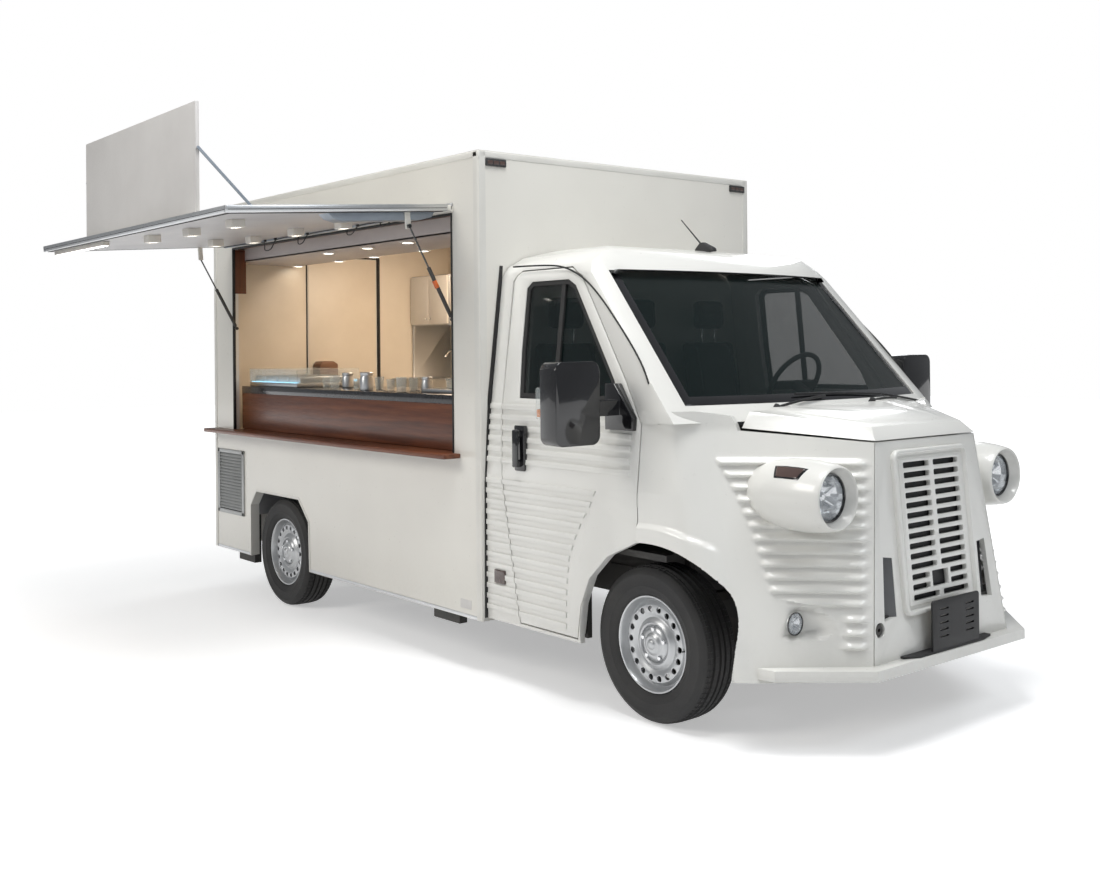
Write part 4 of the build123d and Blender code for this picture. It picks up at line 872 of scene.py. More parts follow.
def nose_skin():
    "Right side's fender and cheek, from a grid bent to its surface."
    heights = skin_heights()
    deselect()
    bpy.ops.mesh.primitive_grid_add(x_subdivisions=SKIN_COLUMNS, y_subdivisions=len(heights) - 1, size=2)
    piece = added("nose_skin")
    fixed = heights.index(max(height for height in heights if height < 1.236))
    for vertex in piece.data.vertices:
        along = (vertex.co.x + 1) / 2
        row = round((vertex.co.y + 1) / 2 * (len(heights) - 1))
        z = heights[row]
        if row > fixed:
            share = (row - fixed) / (len(heights) - 1 - fixed)
            for _ in range(3):
                high = nose_top(nose_point(along, z).x)
                z = heights[fixed] + share * (high - heights[fixed])
        place = nose_point(along, z)
        lift = rib_height(along, z)
        if place.y < -0.9:
            lift = max(lift, flare_height(place.x, z) * smooth_step((-0.9 - place.y) / 0.06))
        place = place + nose_normal(along, z) * lift
        place.x -= scoop_depth(place)
        vertex.co = place
    choose_faces(piece, lambda centre, normal: centre.y < -0.6 and arch_distance(centre.x, centre.z) < 0
            and centre.x < 0.56)
    bpy.ops.mesh.delete(type="FACE")
    leave()
    outward(piece)
    choose_arch_edge(piece)
    bpy.ops.mesh.extrude_edges_move(TRANSFORM_OT_translate={"value": (0, 0.045, 0)})
    leave()
    choose_top_edge(piece)
    bpy.ops.mesh.extrude_edges_move(TRANSFORM_OT_translate={"value": (-0.035, 0.06, -0.004)})
    leave()
    return thickened(piece, 0.004)


def choose_open_edges(piece):
    "Selects the edges with one face; leaves the piece in object mode."
    pick(piece)
    bpy.ops.object.mode_set(mode="EDIT")
    bpy.ops.mesh.select_mode(type="EDGE")
    bpy.ops.mesh.select_all(action="DESELECT")
    bpy.ops.mesh.select_non_manifold(extend=False)
    bpy.ops.object.mode_set(mode="OBJECT")


def choose_top_edge(piece):
    "Selects the skin's upper open edges, ahead of the pillar."
    choose_open_edges(piece)
    for edge in piece.data.edges:
        if edge.select:
            ends = [piece.data.vertices[index].co for index in edge.vertices]
            edge.select = all(end.x > 0.235 and abs(end.z - nose_top(end.x)) < 0.012 for end in ends)
    bpy.ops.object.mode_set(mode="EDIT")


def choose_arch_edge(piece):
    "Selects the open edges that lie on the wheel arch."
    choose_open_edges(piece)
    rim = set()
    for edge in piece.data.edges:
        if edge.select:
            ends = [piece.data.vertices[index] for index in edge.vertices]
            edge.select = all(abs(arch_distance(end.co.x, end.co.z)) < 0.012 and end.co.x < 0.56
                              for end in ends)
            if edge.select:
                rim.update(end.index for end in ends)
    for index in rim:
        spot = piece.data.vertices[index].co
        near = nearest_on_arch(spot.x, spot.z)
        spot.x, spot.z = near.x, max(near.y, NOSE_LOW_Z)
    bpy.ops.object.mode_set(mode="EDIT")


pair(nose_skin(), "nose_skin", FIXED, body_paint, 40, ["nose_shell"])


# Head and fog lamps

POD_PROFILE = [(0.0, 0.338), (0.03, 0.341), (0.058, 0.356), (0.088, 0.383), (0.12, 0.43), (0.141, 0.49),
        (0.153, 0.56), (0.157, 0.63), (0.156, 0.7), (0.15, 0.76), (0.143, 0.8), (0.138, 0.821),
        (0.134, 0.829), (0.13, 0.831), (0.1265, 0.8275), (0.1235, 0.82), (0.113, 0.79), (0.1065, 0.784),
        (0.1045, 0.778), (0.1045, 0.7), (0.0, 0.698)]


def make_lamp(name, place, scale, depth):
    "Lens, black ring, faceted bright bowl and bulb shield of a round lamp that looks along X."
    def grown(profile):
        return [(radius * scale, run * depth) for radius, run in profile]
    ring = turned(name + "_ring",
            grown([(0.1045, 0.0015), (0.1045, -0.008), (0.0955, -0.008), (0.096, 0.0015), (0.0985, 0.005),
            (0.1025, 0.005), (0.1045, 0.0015)]), place, 64, (1, 0, 0))
    bowl = turned(name + "_bowl",
            grown([(0.0975, -0.004), (0.09, -0.03), (0.074, -0.052), (0.05, -0.066), (0.022, -0.072),
            (0.0, -0.0725), (0.0, -0.0745), (0.022, -0.074), (0.051, -0.068), (0.076, -0.0535),
            (0.0925, -0.0305), (0.0995, -0.004), (0.0975, -0.004)]), place, 18, (1, 0, 0))
    shield = turned(name + "_shield",
            grown([(0.0, -0.03), (0.012, -0.031), (0.02, -0.036), (0.023, -0.046), (0.021, -0.058),
            (0.016, -0.071), (0.0, -0.0712)]), place, 32, (1, 0, 0))
    fins = []
    for k in range(6):
        turn = math.tau * (k + 0.5) / 6
        out = Vector((0, math.cos(turn), math.sin(turn)))
        spot = Vector(place)
        fins.append(bar("fin", spot + out * 0.024 * scale + Vector((-0.046 * depth, 0, 0)),
                        spot + out * 0.083 * scale + Vector((-0.036 * depth, 0, 0)), 0.0045 * scale, 8,
                        0.001, 0.0075 * scale))
    lens = turned(name + "_lens",
            grown([(0.0, 0.013), (0.04, 0.011), (0.07, 0.0065), (0.09, 0.0005), (0.0965, -0.004),
            (0.0945, -0.006), (0.068, 0.0035), (0.038, 0.008), (0.0, 0.01)]), place, 64, (1, 0, 0))
    pair(ring, name + "_ring", FIXED, black_gloss)
    pair(merged([bowl, shield] + fins, "bowl"), name + "_bowl", FIXED, chrome, 12)
    pair(lens, name + "_lens", FIXED, lamp_glass, 60, ["lamp_lenses"])


def on_pod(x, turn, lift):
    "Point on the lamp pod's outer side: turn is the height of the place as an angle."
    radius = between([(run, radius) for radius, run in POD_PROFILE[:14]], x) + lift
    return (x, -POD_Y - radius * math.cos(turn), POD_Z + radius * math.sin(turn))


def side_lamp(name, low, high, x_low, x_high, lift, thickness):
    "Thin trapezium laid on the pod, between two heights as angles."
    deselect()
    bpy.ops.mesh.primitive_grid_add(x_subdivisions=16, y_subdivisions=8, size=2)
    piece = added(name)
    for vertex in piece.data.vertices:
        across, up = (vertex.co.x + 1) / 2, (vertex.co.y + 1) / 2
        start = x_low[0] + (x_high[0] - x_low[0]) * up
        stop = x_low[1] + (x_high[1] - x_low[1]) * up
        vertex.co = on_pod(start + (stop - start) * across, math.radians(low + (high - low) * up), lift)
    outward_from(piece, Vector((0.65, -POD_Y, POD_Z)))
    return rounded(thickened(piece, thickness), 0.0012, 2, 50)


def outward_from(piece, middle):
    "Turns an open sheet's faces away from a point."
    face = piece.data.polygons[len(piece.data.polygons) // 2]
    if face.normal.dot(face.center - middle) < 0:
        piece.data.flip_normals()


def dress_lamps():
    pod = turned("pod", POD_PROFILE, (0, -POD_Y, POD_Z), 96, (1, 0, 0))
    pair(pod, "headlamp_pod", FIXED, body_paint, 40, ["headlamp_pods"])
    make_lamp("headlamp", (0.782, -POD_Y, POD_Z), 1.0, 1.0)
    make_lamp("fog_lamp", (0.668, -FOG_Y, FOG_Z), 0.475, 0.42)
    rim = side_lamp("rim", 31, 55, (0.592, 0.722), (0.566, 0.744), 0.0016, 0.004)
    pair(rim, "indicator_rim", FIXED, black_gloss)
    glass = side_lamp("glass", 33.5, 52.5, (0.602, 0.712), (0.58, 0.731), 0.004, 0.004)
    pair(glass, "indicator_lens", FIXED, smoked_lens)


dress_lamps()


# Front panel: grille, side pockets, bracket and bumper insert

GRILLE_MID_Z = 0.89
GRILLE_LEAN = math.atan2(0.09, 1.045)
GRILLE_MID_X = 0.905 - 0.09 * (GRILLE_MID_Z - 0.3) / 1.045


def laid_on_front(piece):
    "Turns a piece modelled about the grille's middle onto the leaning front."
    return moved(piece, Matrix.Translation((GRILLE_MID_X, 0, GRILLE_MID_Z)) @ Matrix.Rotation(-GRILLE_LEAN,
            4, "Y"))


def round_outline(half_y, half_z, radius, steps=7):
    points = []
    for k in range(4):
        turn = math.pi / 2 * k
        side_y = 1 if k in (0, 3) else -1
        side_z = 1 if k in (0, 1) else -1
        for step in range(steps):
            angle = turn + math.pi / 2 * step / (steps - 1)
            points.append((side_y * (half_y - radius) + radius * math.cos(angle),
                           side_z * (half_z - radius) + radius * math.sin(angle)))
    return points


def grille_slots():
    "Cutters of the grille: two columns of rows, and a square place left open."
    cutters = []
    for row in range(14):
        z = -0.289 + 0.0445 * row
        start = 0.08 if row in (1, 2) else 0.016
        for side in (-1, 1):
            y = sorted((side * start, side * 0.212))
            cutters.append(slab("slot", (-0.08, 0.08), y, (z - 0.0128, z + 0.0128), 0.007, 3))
    cutters.append(slab("square", (-0.08, 0.08), (-0.062, 0.062), (-0.2573, -0.1872), 0.004, 2))
    return cutters


def make_grille():
    "Rounded double frame with slots between its bars."
    grille = plate("grille", round_outline(0.285, 0.36, 0.046), "YZ", -0.01, 0.024, 0.009, 4)
    for gap, rise in ((0.009, 0.0), (0.004, -0.019), (0.015, 0.0), (0.005, 0.008)):
        choose_faces(grille, lambda centre, normal: normal.x > 0.99 and abs(centre.y) < 0.01
                     and abs(centre.z) < 0.01)
        bpy.ops.mesh.inset(thickness=gap)
        bpy.ops.transform.translate(value=(rise, 0, 0))
        leave()
    return pierced(grille, grille_slots())


def dress_front():
    grille = laid_on_front(make_grille())
    settle(rounded(grille, 0.0015, 2, 40), "chassis", body_paint, 40, ["grille"])
    mesh = slab("grille_backing", (-0.022, -0.016), (-0.228, 0.228), (-0.312, 0.312), 0.002)
    settle(laid_on_front(mesh), "chassis", black_plastic)
    for side, name in SIDES:
        outline = [(-0.003, 0.33), (-0.034, 0.362), (-0.046, 0.4), (-0.046, 0.424), (-0.052, 0.424),
                (-0.052, 0.396), (-0.038, 0.356), (-0.01, 0.322)]
        pocket = plate("pocket", [(x, side * y) for x, y in outline], "XY", -0.372, -0.088, 0.0)
        settle(laid_on_front(pocket), "chassis", pocket_grey).name = "front_pocket_" + name
    bracket = plate("bracket", [(-0.16, 0.362), (0.205, 0.362), (0.205, 0.582), (0.196, 0.591),
            (-0.151, 0.591), (-0.16, 0.582)], "YZ", 0.938, 0.95, 0.003)
    slits = []
    for y in (-0.105, 0.095):
        for row in range(5):
            slits.append(slab("slit", (0.92, 0.97), (y, y + 0.066),
                    (0.425 + 0.03 * row, 0.433 + 0.03 * row), 0.003))
    bracket = pierced(bracket, slits)
    ribs = [slab("rib", (0.926, 0.94), (y - 0.004, y + 0.004), (0.37, 0.58), 0.001)
            for y in (-0.13, 0.02, 0.175)]
    feet = [slab("foot", (0.9, 0.945), (y - 0.015, y + 0.015), (0.36, 0.368), 0.001) for y in (-0.13, 0.175)]
    settle(merged([bracket] + ribs + feet, "number_bracket"), "chassis", black_plastic, 35,
            ["plate_bracket"])
    settle(slab("slit_backing", (0.93, 0.9375), (-0.12, 0.18), (0.41, 0.57), 0.001), "chassis",
            white_unit)
    insert = plate("bumper_insert", [(0.896, -0.33), (0.915, -0.33), (0.951, -0.255), (0.953, 0.235),
            (0.93, 0.33), (0.896, 0.33)], "XY", 0.3625, 0.372, 0.002)
    settle(insert, "chassis", black_plastic)


dress_front()


# Windscreen border, wipers, door windows and cab trims

def glass_border(node, name, body, facing, band, thickness, material):
    "Band round a glass node's outer face."
    piece = own_copy(node, name)
    edit(piece)
    bpy.ops.mesh.remove_doubles(threshold=WELD)
    leave()
    facing = Vector(facing)
    choose_faces(piece, lambda centre, normal: normal.dot(facing) < 0.45)
    bpy.ops.mesh.delete(type="FACE")
    bpy.ops.mesh.select_all(action="SELECT")
    bpy.ops.mesh.dissolve_limited(angle_limit=math.radians(0.2))
    bpy.ops.mesh.select_all(action="SELECT")
    bpy.ops.mesh.inset(thickness=band, use_even_offset=True)
    bpy.ops.mesh.delete(type="FACE")
    leave()
    rounded(thickened(piece, thickness, 1), min(0.003, thickness * 0.4), 2, 50)
    return dress(piece, body, material)


SCREEN_RUN = Vector((-0.65, 0, 0.7))
SCREEN_IN = Vector((-0.7327, 0, -0.6805))


def on_screen(y, up, lift=0.0):
    "Point on the bowed windscreen: up from 0 at its base to 1 at its top."
    bow = 4.2 - math.sqrt(4.2 ** 2 - y * y)
    return Vector((0.32, y, 1.42)) + SCREEN_RUN * up + SCREEN_IN * (bow - lift)


def cab_side(x, z, lift=0.0):
    "Point on the cab's right side above its belt."
    return (x, -(0.985 - 0.1221 * (z - 1.43)) - lift, z)


def make_wiper(name, pivot, tip_y, tip_up, park):
    foot = on_screen(pivot, 0.015, 0.012)
    tip = on_screen(tip_y, tip_up, 0.02)
    knee = foot.lerp(tip, 0.3) + Vector((0.01, 0, 0.012))
    arm = swept(name, [foot, knee, foot.lerp(tip, 0.72)], 0.0065, 3, 3)
    cap = bar("cap", foot + Vector((-0.02, 0, -0.03)), foot + Vector((0.012, 0, 0.012)), 0.016, 20, 0.004)
    rubber = [on_screen(tip_y - park, tip_up + 0.01, 0.01), on_screen(tip_y, tip_up + 0.002, 0.012),
              on_screen(tip_y + park, tip_up - 0.004, 0.01)]
    blade = swept("blade", rubber, 0.0055, 3, 2)
    settle(merged([arm, cap, blade], name), "chassis", black_plastic)


def dress_cab():
    forward = (0.73, 0, 0.68)
    glass_border("windscreen", "windscreen_border", "chassis", forward, 0.05, 0.003, black_gloss)
    for side, name in SIDES:
        glass_border("glass_" + name, "window_rubber_" + name, "door_" + name, (0, side, 0), 0.026, 0.015,
                seal_rubber)
    lower, upper = cab_side(0, 1.452), cab_side(0, 2.052)
    divider = plate("divider", [(lower[1] + 0.006, 1.452), (upper[1] + 0.006, 2.052),
            (upper[1] + 0.022, 2.052), (lower[1] + 0.022, 1.452)], "YZ", -0.656, -0.626, 0.002)
    pair(divider, "window_divider", DOORS, seal_rubber)
    line = [(-1.06, 2.139), (-0.78, 2.134), (-0.64, 2.116), (-0.53, 2.076), (-0.44, 2.025), (-0.33, 1.94),
            (-0.2, 1.818), (-0.08, 1.698), (0.0, 1.602), (0.03, 1.545)]
    drip = swept("drip", [cab_side(x, z, 0.001) for x, z in line], 0.0045, 3, 3)
    pair(drip, "drip_line", FIXED, seal_rubber)
    grip = slab("grip", (-0.88, -0.84), (-1.062, -1.046), (1.11, 1.3), 0.009, 3)
    foot_low = slab("foot", (-0.878, -0.842), (-1.052, -1.015), (1.11, 1.145), 0.007, 3)
    foot_high = slab("foot", (-0.878, -0.842), (-1.052, -1.012), (1.262, 1.3), 0.007, 3)
    cup = plate("cup", [(-0.895, 1.09), (-0.825, 1.09), (-0.82, 1.098), (-0.82, 1.312), (-0.825, 1.32),
            (-0.895, 1.32), (-0.9, 1.312), (-0.9, 1.098)], "XZ", -1.0285, -1.006, 0.002)
    handle = merged([grip, foot_low, foot_high, cup], "handle")
    pair(handle, "door_handle", DOORS, black_gloss)
    catch = slab("catch", (-1.08, -0.992), (-1.031, -1.018), (0.495, 0.565), 0.004, 3)
    pair(catch, "side_reflector", FIXED, smoked_lens)
    indicator = slab("indicator", (-0.238, -0.196), (-1.4195, -1.34), (1.395, 1.535), 0.01, 3)
    pair(indicator, "mirror_indicator", DOORS, clear_glass)
    glow = slab("amber", (-0.232, -0.196), (-1.416, -1.35), (1.403, 1.44), 0.006, 2)
    pair(glow, "mirror_amber", DOORS, amber_lens)
    mirror_glass = slab("mirror_glass", (-0.204, -0.199), (-1.395, -1.185), (1.31, 1.62), 0.0022, 2)
    pair(mirror_glass, "mirror_glass", DOORS, mirror_silver)
    mast_foot = plate("mast_foot", [(-0.8, 2.24), (-0.79, 2.262), (-0.755, 2.294), (-0.735, 2.296),
            (-0.66, 2.262), (-0.65, 2.24)], "XZ", 0.185, 0.225, 0.008, 3)
    mast = bar("mast", (-0.755, 0.205, 2.285), (-0.875, 0.168, 2.432), 0.0048, 14, 0.001, 0.0032)
    settle(merged([mast_foot, mast], "roof_antenna"), "chassis", black_plastic)
    make_wiper("wiper_right", -0.42, 0.1, 0.075, 0.34)
    make_wiper("wiper_left", 0.3, 0.66, 0.06, 0.2)
    trim = plate("trim", [(-0.955, 1.45), (-1.02, 0.3), (-1.036, 0.3), (-1.03, 1.0), (-1.004, 1.44),
            (-0.916, 2.15), (-0.9, 2.15)], "YZ", -1.1595, -1.1515, 0.0)
    pair(trim, "cab_seal", FIXED, seal_rubber)


dress_cab()


# Seats: padded cushions, backs and headrests on a moulded base

SEAT_PLACES = (0.55, -0.02, -0.565)
PAD_VOXEL = 0.0105


def puffed(piece, cap):
    "Swells a padded piece as cloth under pressure, each point by no more than cap."
    pick(piece)
    remesh = piece.modifiers.new("remesh", "REMESH")
    remesh.mode = "VOXEL"
    remesh.voxel_size = PAD_VOXEL
    bpy.ops.object.modifier_apply(modifier=remesh.name)
    start = [vertex.co.copy() for vertex in piece.data.vertices]
    cloth = piece.modifiers.new("swell", "CLOTH")
    cloth.settings.use_pressure = True
    cloth.settings.uniform_pressure_force = 4.0
    cloth.settings.effector_weights.gravity = 0.0
    cloth.point_cache.frame_start = 1
    cloth.point_cache.frame_end = 11
    for frame_number in range(1, 12):
        bpy.context.scene.frame_set(frame_number)
    bpy.ops.object.modifier_apply(modifier=cloth.name)
    bpy.context.scene.frame_set(1)
    for vertex, before in zip(piece.data.vertices, start):
        off = vertex.co - before
        if off.length > cap:
            vertex.co = before + off * (cap / off.length)
    return piece


def seamed(piece, lines, depth=0.006, half=0.011):
    "Presses sewn channels into the faces that look forward or up; lines are y places."
    finer = piece.modifiers.new("finer", "SUBSURF")
    finer.levels = 1
    finer.render_levels = 1
    pick(piece)
    bpy.ops.object.modifier_apply(modifier=finer.name)
    presses = []
    for vertex in piece.data.vertices:
        near = min(abs(vertex.co.y - line) for line in lines)
        facing = max(vertex.normal.x, vertex.normal.z)
        if near < half and facing > 0.35:
            presses.append((vertex, vertex.normal * (-depth * smooth_step(1 - near / half))))
    for vertex, shift in presses:
        vertex.co += shift
    return piece


def padded_block(name, outline, half_y, width, cap, lines):
    piece = plate(name, outline, "XZ", -half_y, half_y, width, 4)
    return seamed(puffed(piece, cap), lines)


def dress_seats():
    cushion = padded_block("cushion", [(-0.955, 1.075), (-0.96, 1.16), (-0.7, 1.172), (-0.44, 1.168),
            (-0.425, 1.12), (-0.45, 1.065)], 0.212, 0.03, 0.01, (-0.15, 0.15))
    back = padded_block("back", [(-0.905, 1.195), (-0.95, 1.45), (-1.01, 1.745), (-1.08, 1.745),
            (-1.05, 1.45), (-1.005, 1.18)], 0.205, 0.03, 0.012, (-0.135, 0.135))
    rest = padded_block("rest", [(-1.005, 1.815), (-0.998, 1.87), (-1.008, 1.985), (-1.062, 1.982),
            (-1.068, 1.815)], 0.112, 0.026, 0.008, (-0.09, 0.09))
    base = merged([slab("base", (-0.945, -0.47), (-0.22, 0.22), (0.776, 1.072), 0.02, 3),
                   slab("rail", (-0.96, -0.45), (-0.215, -0.185), (0.78, 0.81), 0.004),
                   slab("rail", (-0.96, -0.45), (0.185, 0.215), (0.78, 0.81), 0.004),
                   bar("hinge", (-0.985, -0.222, 1.155), (-0.985, 0.222, 1.155), 0.034, 28, 0.006)], "base")
    posts = merged([bar("post", (-1.04, y, 1.73), (-1.035, y, 1.835), 0.0065, 16, 0.001)
            for y in (-0.055, 0.055)], "posts")
    for key, y in zip("abc", SEAT_PLACES):
        spot = Matrix.Translation((0, y, 0))
        for master, part in ((cushion, "cushion"), (back, "back"), (rest, "headrest")):
            pad = settle(copied(master, "seat_%s_%s" % (part, key), spot), "chassis",
                    seat_cloth, 60, ["seats"])
        settle(copied(base, "seat_base_" + key, spot), "chassis", cab_plastic)
        settle(copied(posts, "headrest_posts_" + key, spot), "chassis", chrome)
    for master in (cushion, back, rest, base, posts):
        bpy.data.objects.remove(master)


dress_seats()


# Box body: edge trims, marker lamps, opening, vent, arch rims, rear

INSIDE_Y = BOX_HALF_W - BOX_WALL
INSIDE_X = (BOX_REAR_X + BOX_WALL, BOX_FRONT_X - BOX_WALL)
FLOOR_Z = 0.64
CEILING_Z = BOX_TOP_Z - BOX_WALL


def strips(name, sizes, body, material, width=0.002):
    "One piece made of several bars, each given by its (x, y, z) ranges."
    return settle(merged([slab("strip", *size, width) for size in sizes], name), body, material)


def corner_trims():
    "Rounded metal profiles along the box's edges."
    low, top, out = 0.282, BOX_TOP_Z, BOX_HALF_W
    bars = []
    for y in (-out, out):
        inward = 0.044 if y < 0 else -0.044
        lap = -0.003 if y < 0 else 0.003
        ys = sorted((y + lap, y + inward))
        for x, step in ((BOX_FRONT_X, -0.044), (BOX_REAR_X, 0.044)):
            past = 0.003 if step < 0 else -0.003
            xs = sorted((x + past, x + step))
            bars.append(plate("corner", corner_outline(xs, ys, x + past, y + lap), "XY", low, top - 0.004,
                    0.0))
        bars.append(slab("rail", (BOX_REAR_X, BOX_FRONT_X), ys, (top - 0.042, top - 0.0005), 0.01, 4))
    for x, step in ((BOX_FRONT_X, -0.04), (BOX_REAR_X, 0.04)):
        past = 0.003 if step < 0 else -0.003
        bars.append(slab("rail", sorted((x + past, x + step)), (-out, out), (top - 0.042, top - 0.0005),
                0.01, 4))
        for y in (-out, out):
            over = -0.0028 if y < 0 else 0.0028
            inward = 0.05 if y < 0 else -0.05
            spot = x + (0.0028 if step < 0 else -0.0028)
            bars.append(slab("cap", sorted((spot, x + step * 1.25)), sorted((y + over, y + inward)),
                    (top - 0.05, top - 0.0005), 0.009, 4))
    return merged(bars, "box_edge_trims")


def corner_outline(xs, ys, corner_x, corner_y, radius=0.016, steps=5):
    "L-shaped section, rounded at its outer corner."
    far_x = xs[0] if corner_x == xs[1] else xs[1]
    far_y = ys[0] if corner_y == ys[1] else ys[1]
    way_x = 1 if far_x > corner_x else -1
    way_y = 1 if far_y > corner_y else -1
    points = [(far_x, corner_y)]
    for step in range(steps + 1):
        turn = math.pi / 2 * step / steps
        points.append((corner_x + way_x * radius * (1 - math.sin(turn)),
                       corner_y + way_y * radius * (1 - math.cos(turn))))
    points.append((corner_x, far_y))
    wall = 0.0032
    points = points + [(corner_x + way_x * wall, far_y),
            (corner_x + way_x * wall, corner_y + way_y * radius),
            (corner_x + way_x * radius, corner_y + way_y * wall), (far_x, corner_y + way_y * wall)]
    return points


def marker_lamp(name, y):
    x = BOX_FRONT_X
    body = slab("body", (x, x + 0.01), (y - 0.068, y + 0.068), (2.676, 2.716), 0.004, 3)
    settle(body, "chassis", black_plastic).name = name
    windows = [slab("pane", (x + 0.008, x + 0.0122), (y + k - 0.017, y + k + 0.017), (2.686, 2.706), 0.002)
               for k in (-0.04, 0.0, 0.04)]
    settle(merged(windows, name + "_panes"), "chassis", smoked_lens)


def dress_box():
    settle(corner_trims(), "chassis", trim_paint)
    marker_lamp("marker_lamp_right", -0.938)
    marker_lamp("marker_lamp_left", 0.95)
    low, high = OPENING_Z
    rear, front = OPENING_X
    out = -BOX_HALF_W
    strips("opening_seal", [
        ((rear - 0.002, rear + 0.012), (out - 0.006, out + 0.014), (low + 0.01, high)),
        ((front - 0.01, front + 0.002), (out - 0.006, out + 0.014), (low + 0.01, high)),
        ((rear, front), (out - 0.004, out + 0.014), (high - 0.012, high + 0.002))],
        "chassis", seal_rubber, 0.003)
    strips("opening_reveal", [
        ((rear, rear + 0.004), (out + 0.014, -INSIDE_Y + 0.06), (low + 0.98, high - 0.012)),
        ((rear + 0.004, front), (out + 0.014, -INSIDE_Y), (high - 0.01, high - 0.006))],
        "chassis", reveal_wood, 0.001)
    label = slab("label", (-1.357, -1.256), (out - 0.0015, out), (0.327, 0.375), 0.0006)
    settle(label, "chassis", sign_sheet).name = "blank_label"
    raised = (out - 0.01, out)
    vent_frame = [(x, raised, (0.54, 1.002)) for x in ((-4.428, -4.396), (-4.03, -3.998))]
    vent_frame += [((-4.428, -3.998), raised, z) for z in ((0.974, 1.002), (0.54, 0.568))]
    strips("vent_frame", vent_frame, "chassis", vent_grey, 0.004)
    slats = []
    for row in range(18):
        z = 0.577 + 0.0222 * row
        slats.append(plate("slat", [(out - 0.008, z), (out - 0.0065, z - 0.003), (out + 0.012, z + 0.017),
                (out + 0.01, z + 0.02)], "YZ", -4.4, -4.026, 0.0))
    settle(merged(slats, "vent_slats"), "chassis", vent_grey, 35, ["vent"])
    strips("vent_backing", [((-4.408, -4.018), (out + 0.02, out + 0.026), (0.56, 0.982))], "chassis",
            black_plastic)
    skirt = []
    for x in ((BOX_REAR_X + 0.02, -3.905), (-3.045, BOX_FRONT_X - 0.02)):
        for side in (-1, 1):
            y = side * (BOX_HALF_W + 0.0005)
            skirt.append((x, (y - 0.002, y + 0.002), (0.282, 0.3)))
    strips("skirt_trim", skirt, "chassis", aluminium, 0.001)
    arch = [(-3.912, 0.282), (-3.912, 0.64), (-3.816, 0.747), (-3.191, 0.747), (-3.05, 0.606),
            (-3.038, 0.282)]
    rims = []
    for side in (-1, 1):
        inner = [(-3.898, 0.282), (-3.898, 0.634), (-3.809, 0.733), (-3.197, 0.733), (-3.063, 0.6),
                (-3.052, 0.282)]
        outline = arch + list(reversed(inner))
        ys = sorted((side * (BOX_HALF_W + 0.003), side * (BOX_HALF_W - 0.06)))
        rims.append(plate("arch_rim", outline, "XZ", *ys, 0.0))
    settle(merged(rims, "rear_arch_rims"), "chassis", trim_paint)
    dress_rear()


def dress_rear():
    "Rear door's fittings, lamps, step and bumper."
    x = BOX_REAR_X
    handle = merged([slab("plate", (x - 0.008, x), (-0.275, -0.215), (1.1, 1.32), 0.004),
                     slab("grip", (x - 0.03, x - 0.018), (-0.262, -0.228), (1.12, 1.3), 0.005),
                     slab("end", (x - 0.026, x - 0.004), (-0.258, -0.232), (1.12, 1.15), 0.004),
                     slab("end", (x - 0.026, x - 0.004), (-0.258, -0.232), (1.27, 1.3), 0.004)],
                    "rear_door_handle")
    settle(handle, "rear_door", black_gloss)
    deep = (x - 0.004, x + 0.01)
    seal = [(deep, (-0.317, -0.309), (0.642, 2.437)), (deep, (0.309, 0.3165), (0.642, 2.437)),
            (deep, (-0.317, 0.3165), (2.429, 2.437))]
    strips("rear_door_seal", seal, "chassis", seal_rubber, 0.002)
    for side, name in SIDES:
        frame = slab("frame", (x - 0.022, x), sorted((side * 0.92, side * 1.02)), (0.59, 0.91), 0.008, 3)
        settle(frame, "chassis", black_plastic).name = "rear_lamp_body_" + name
        for key, material, low, high in (("stop", red_lens, 0.7, 0.8), ("turn", amber_lens, 0.806, 0.895),
                                         ("back", clear_glass, 0.605, 0.694)):
            pane = slab("pane", (x - 0.03, x - 0.018), sorted((side * 0.93, side * 1.01)), (low, high),
                    0.007, 3)
            settle(pane, "chassis", material, 35,
                    ["rear_lamps"]).name = "rear_lamp_%s_%s" % (key, name)
    plate_holder = slab("plate_holder", (x - 0.006, x), (-0.93, -0.4), (0.42, 0.54), 0.003)
    settle(plate_holder, "chassis", sign_sheet).name = "rear_blank_plate"
    lamp = slab("plate_lamp", (x - 0.03, x), (-0.71, -0.62), (0.548, 0.575), 0.006, 3)
    settle(lamp, "chassis", black_plastic)
    tops = [slab("marker", (x - 0.01, x), (side * 0.93 - 0.05, side * 0.93 + 0.05), (2.655, 2.69), 0.004)
            for side in (-1, 1)]
    settle(merged(tops, "rear_markers"), "chassis", red_lens)


dress_box()


# Kitchen: wall and ceiling sheets, joints, spots, counter top, tap and ware

SOFFIT_SPOTS = [(-2.63, -0.43), (-3.25, -0.43), (-3.74, -0.43), (-4.36, -0.43), (-3.13, -0.85),
        (-2.63, -0.85), (-2.16, -0.85)]


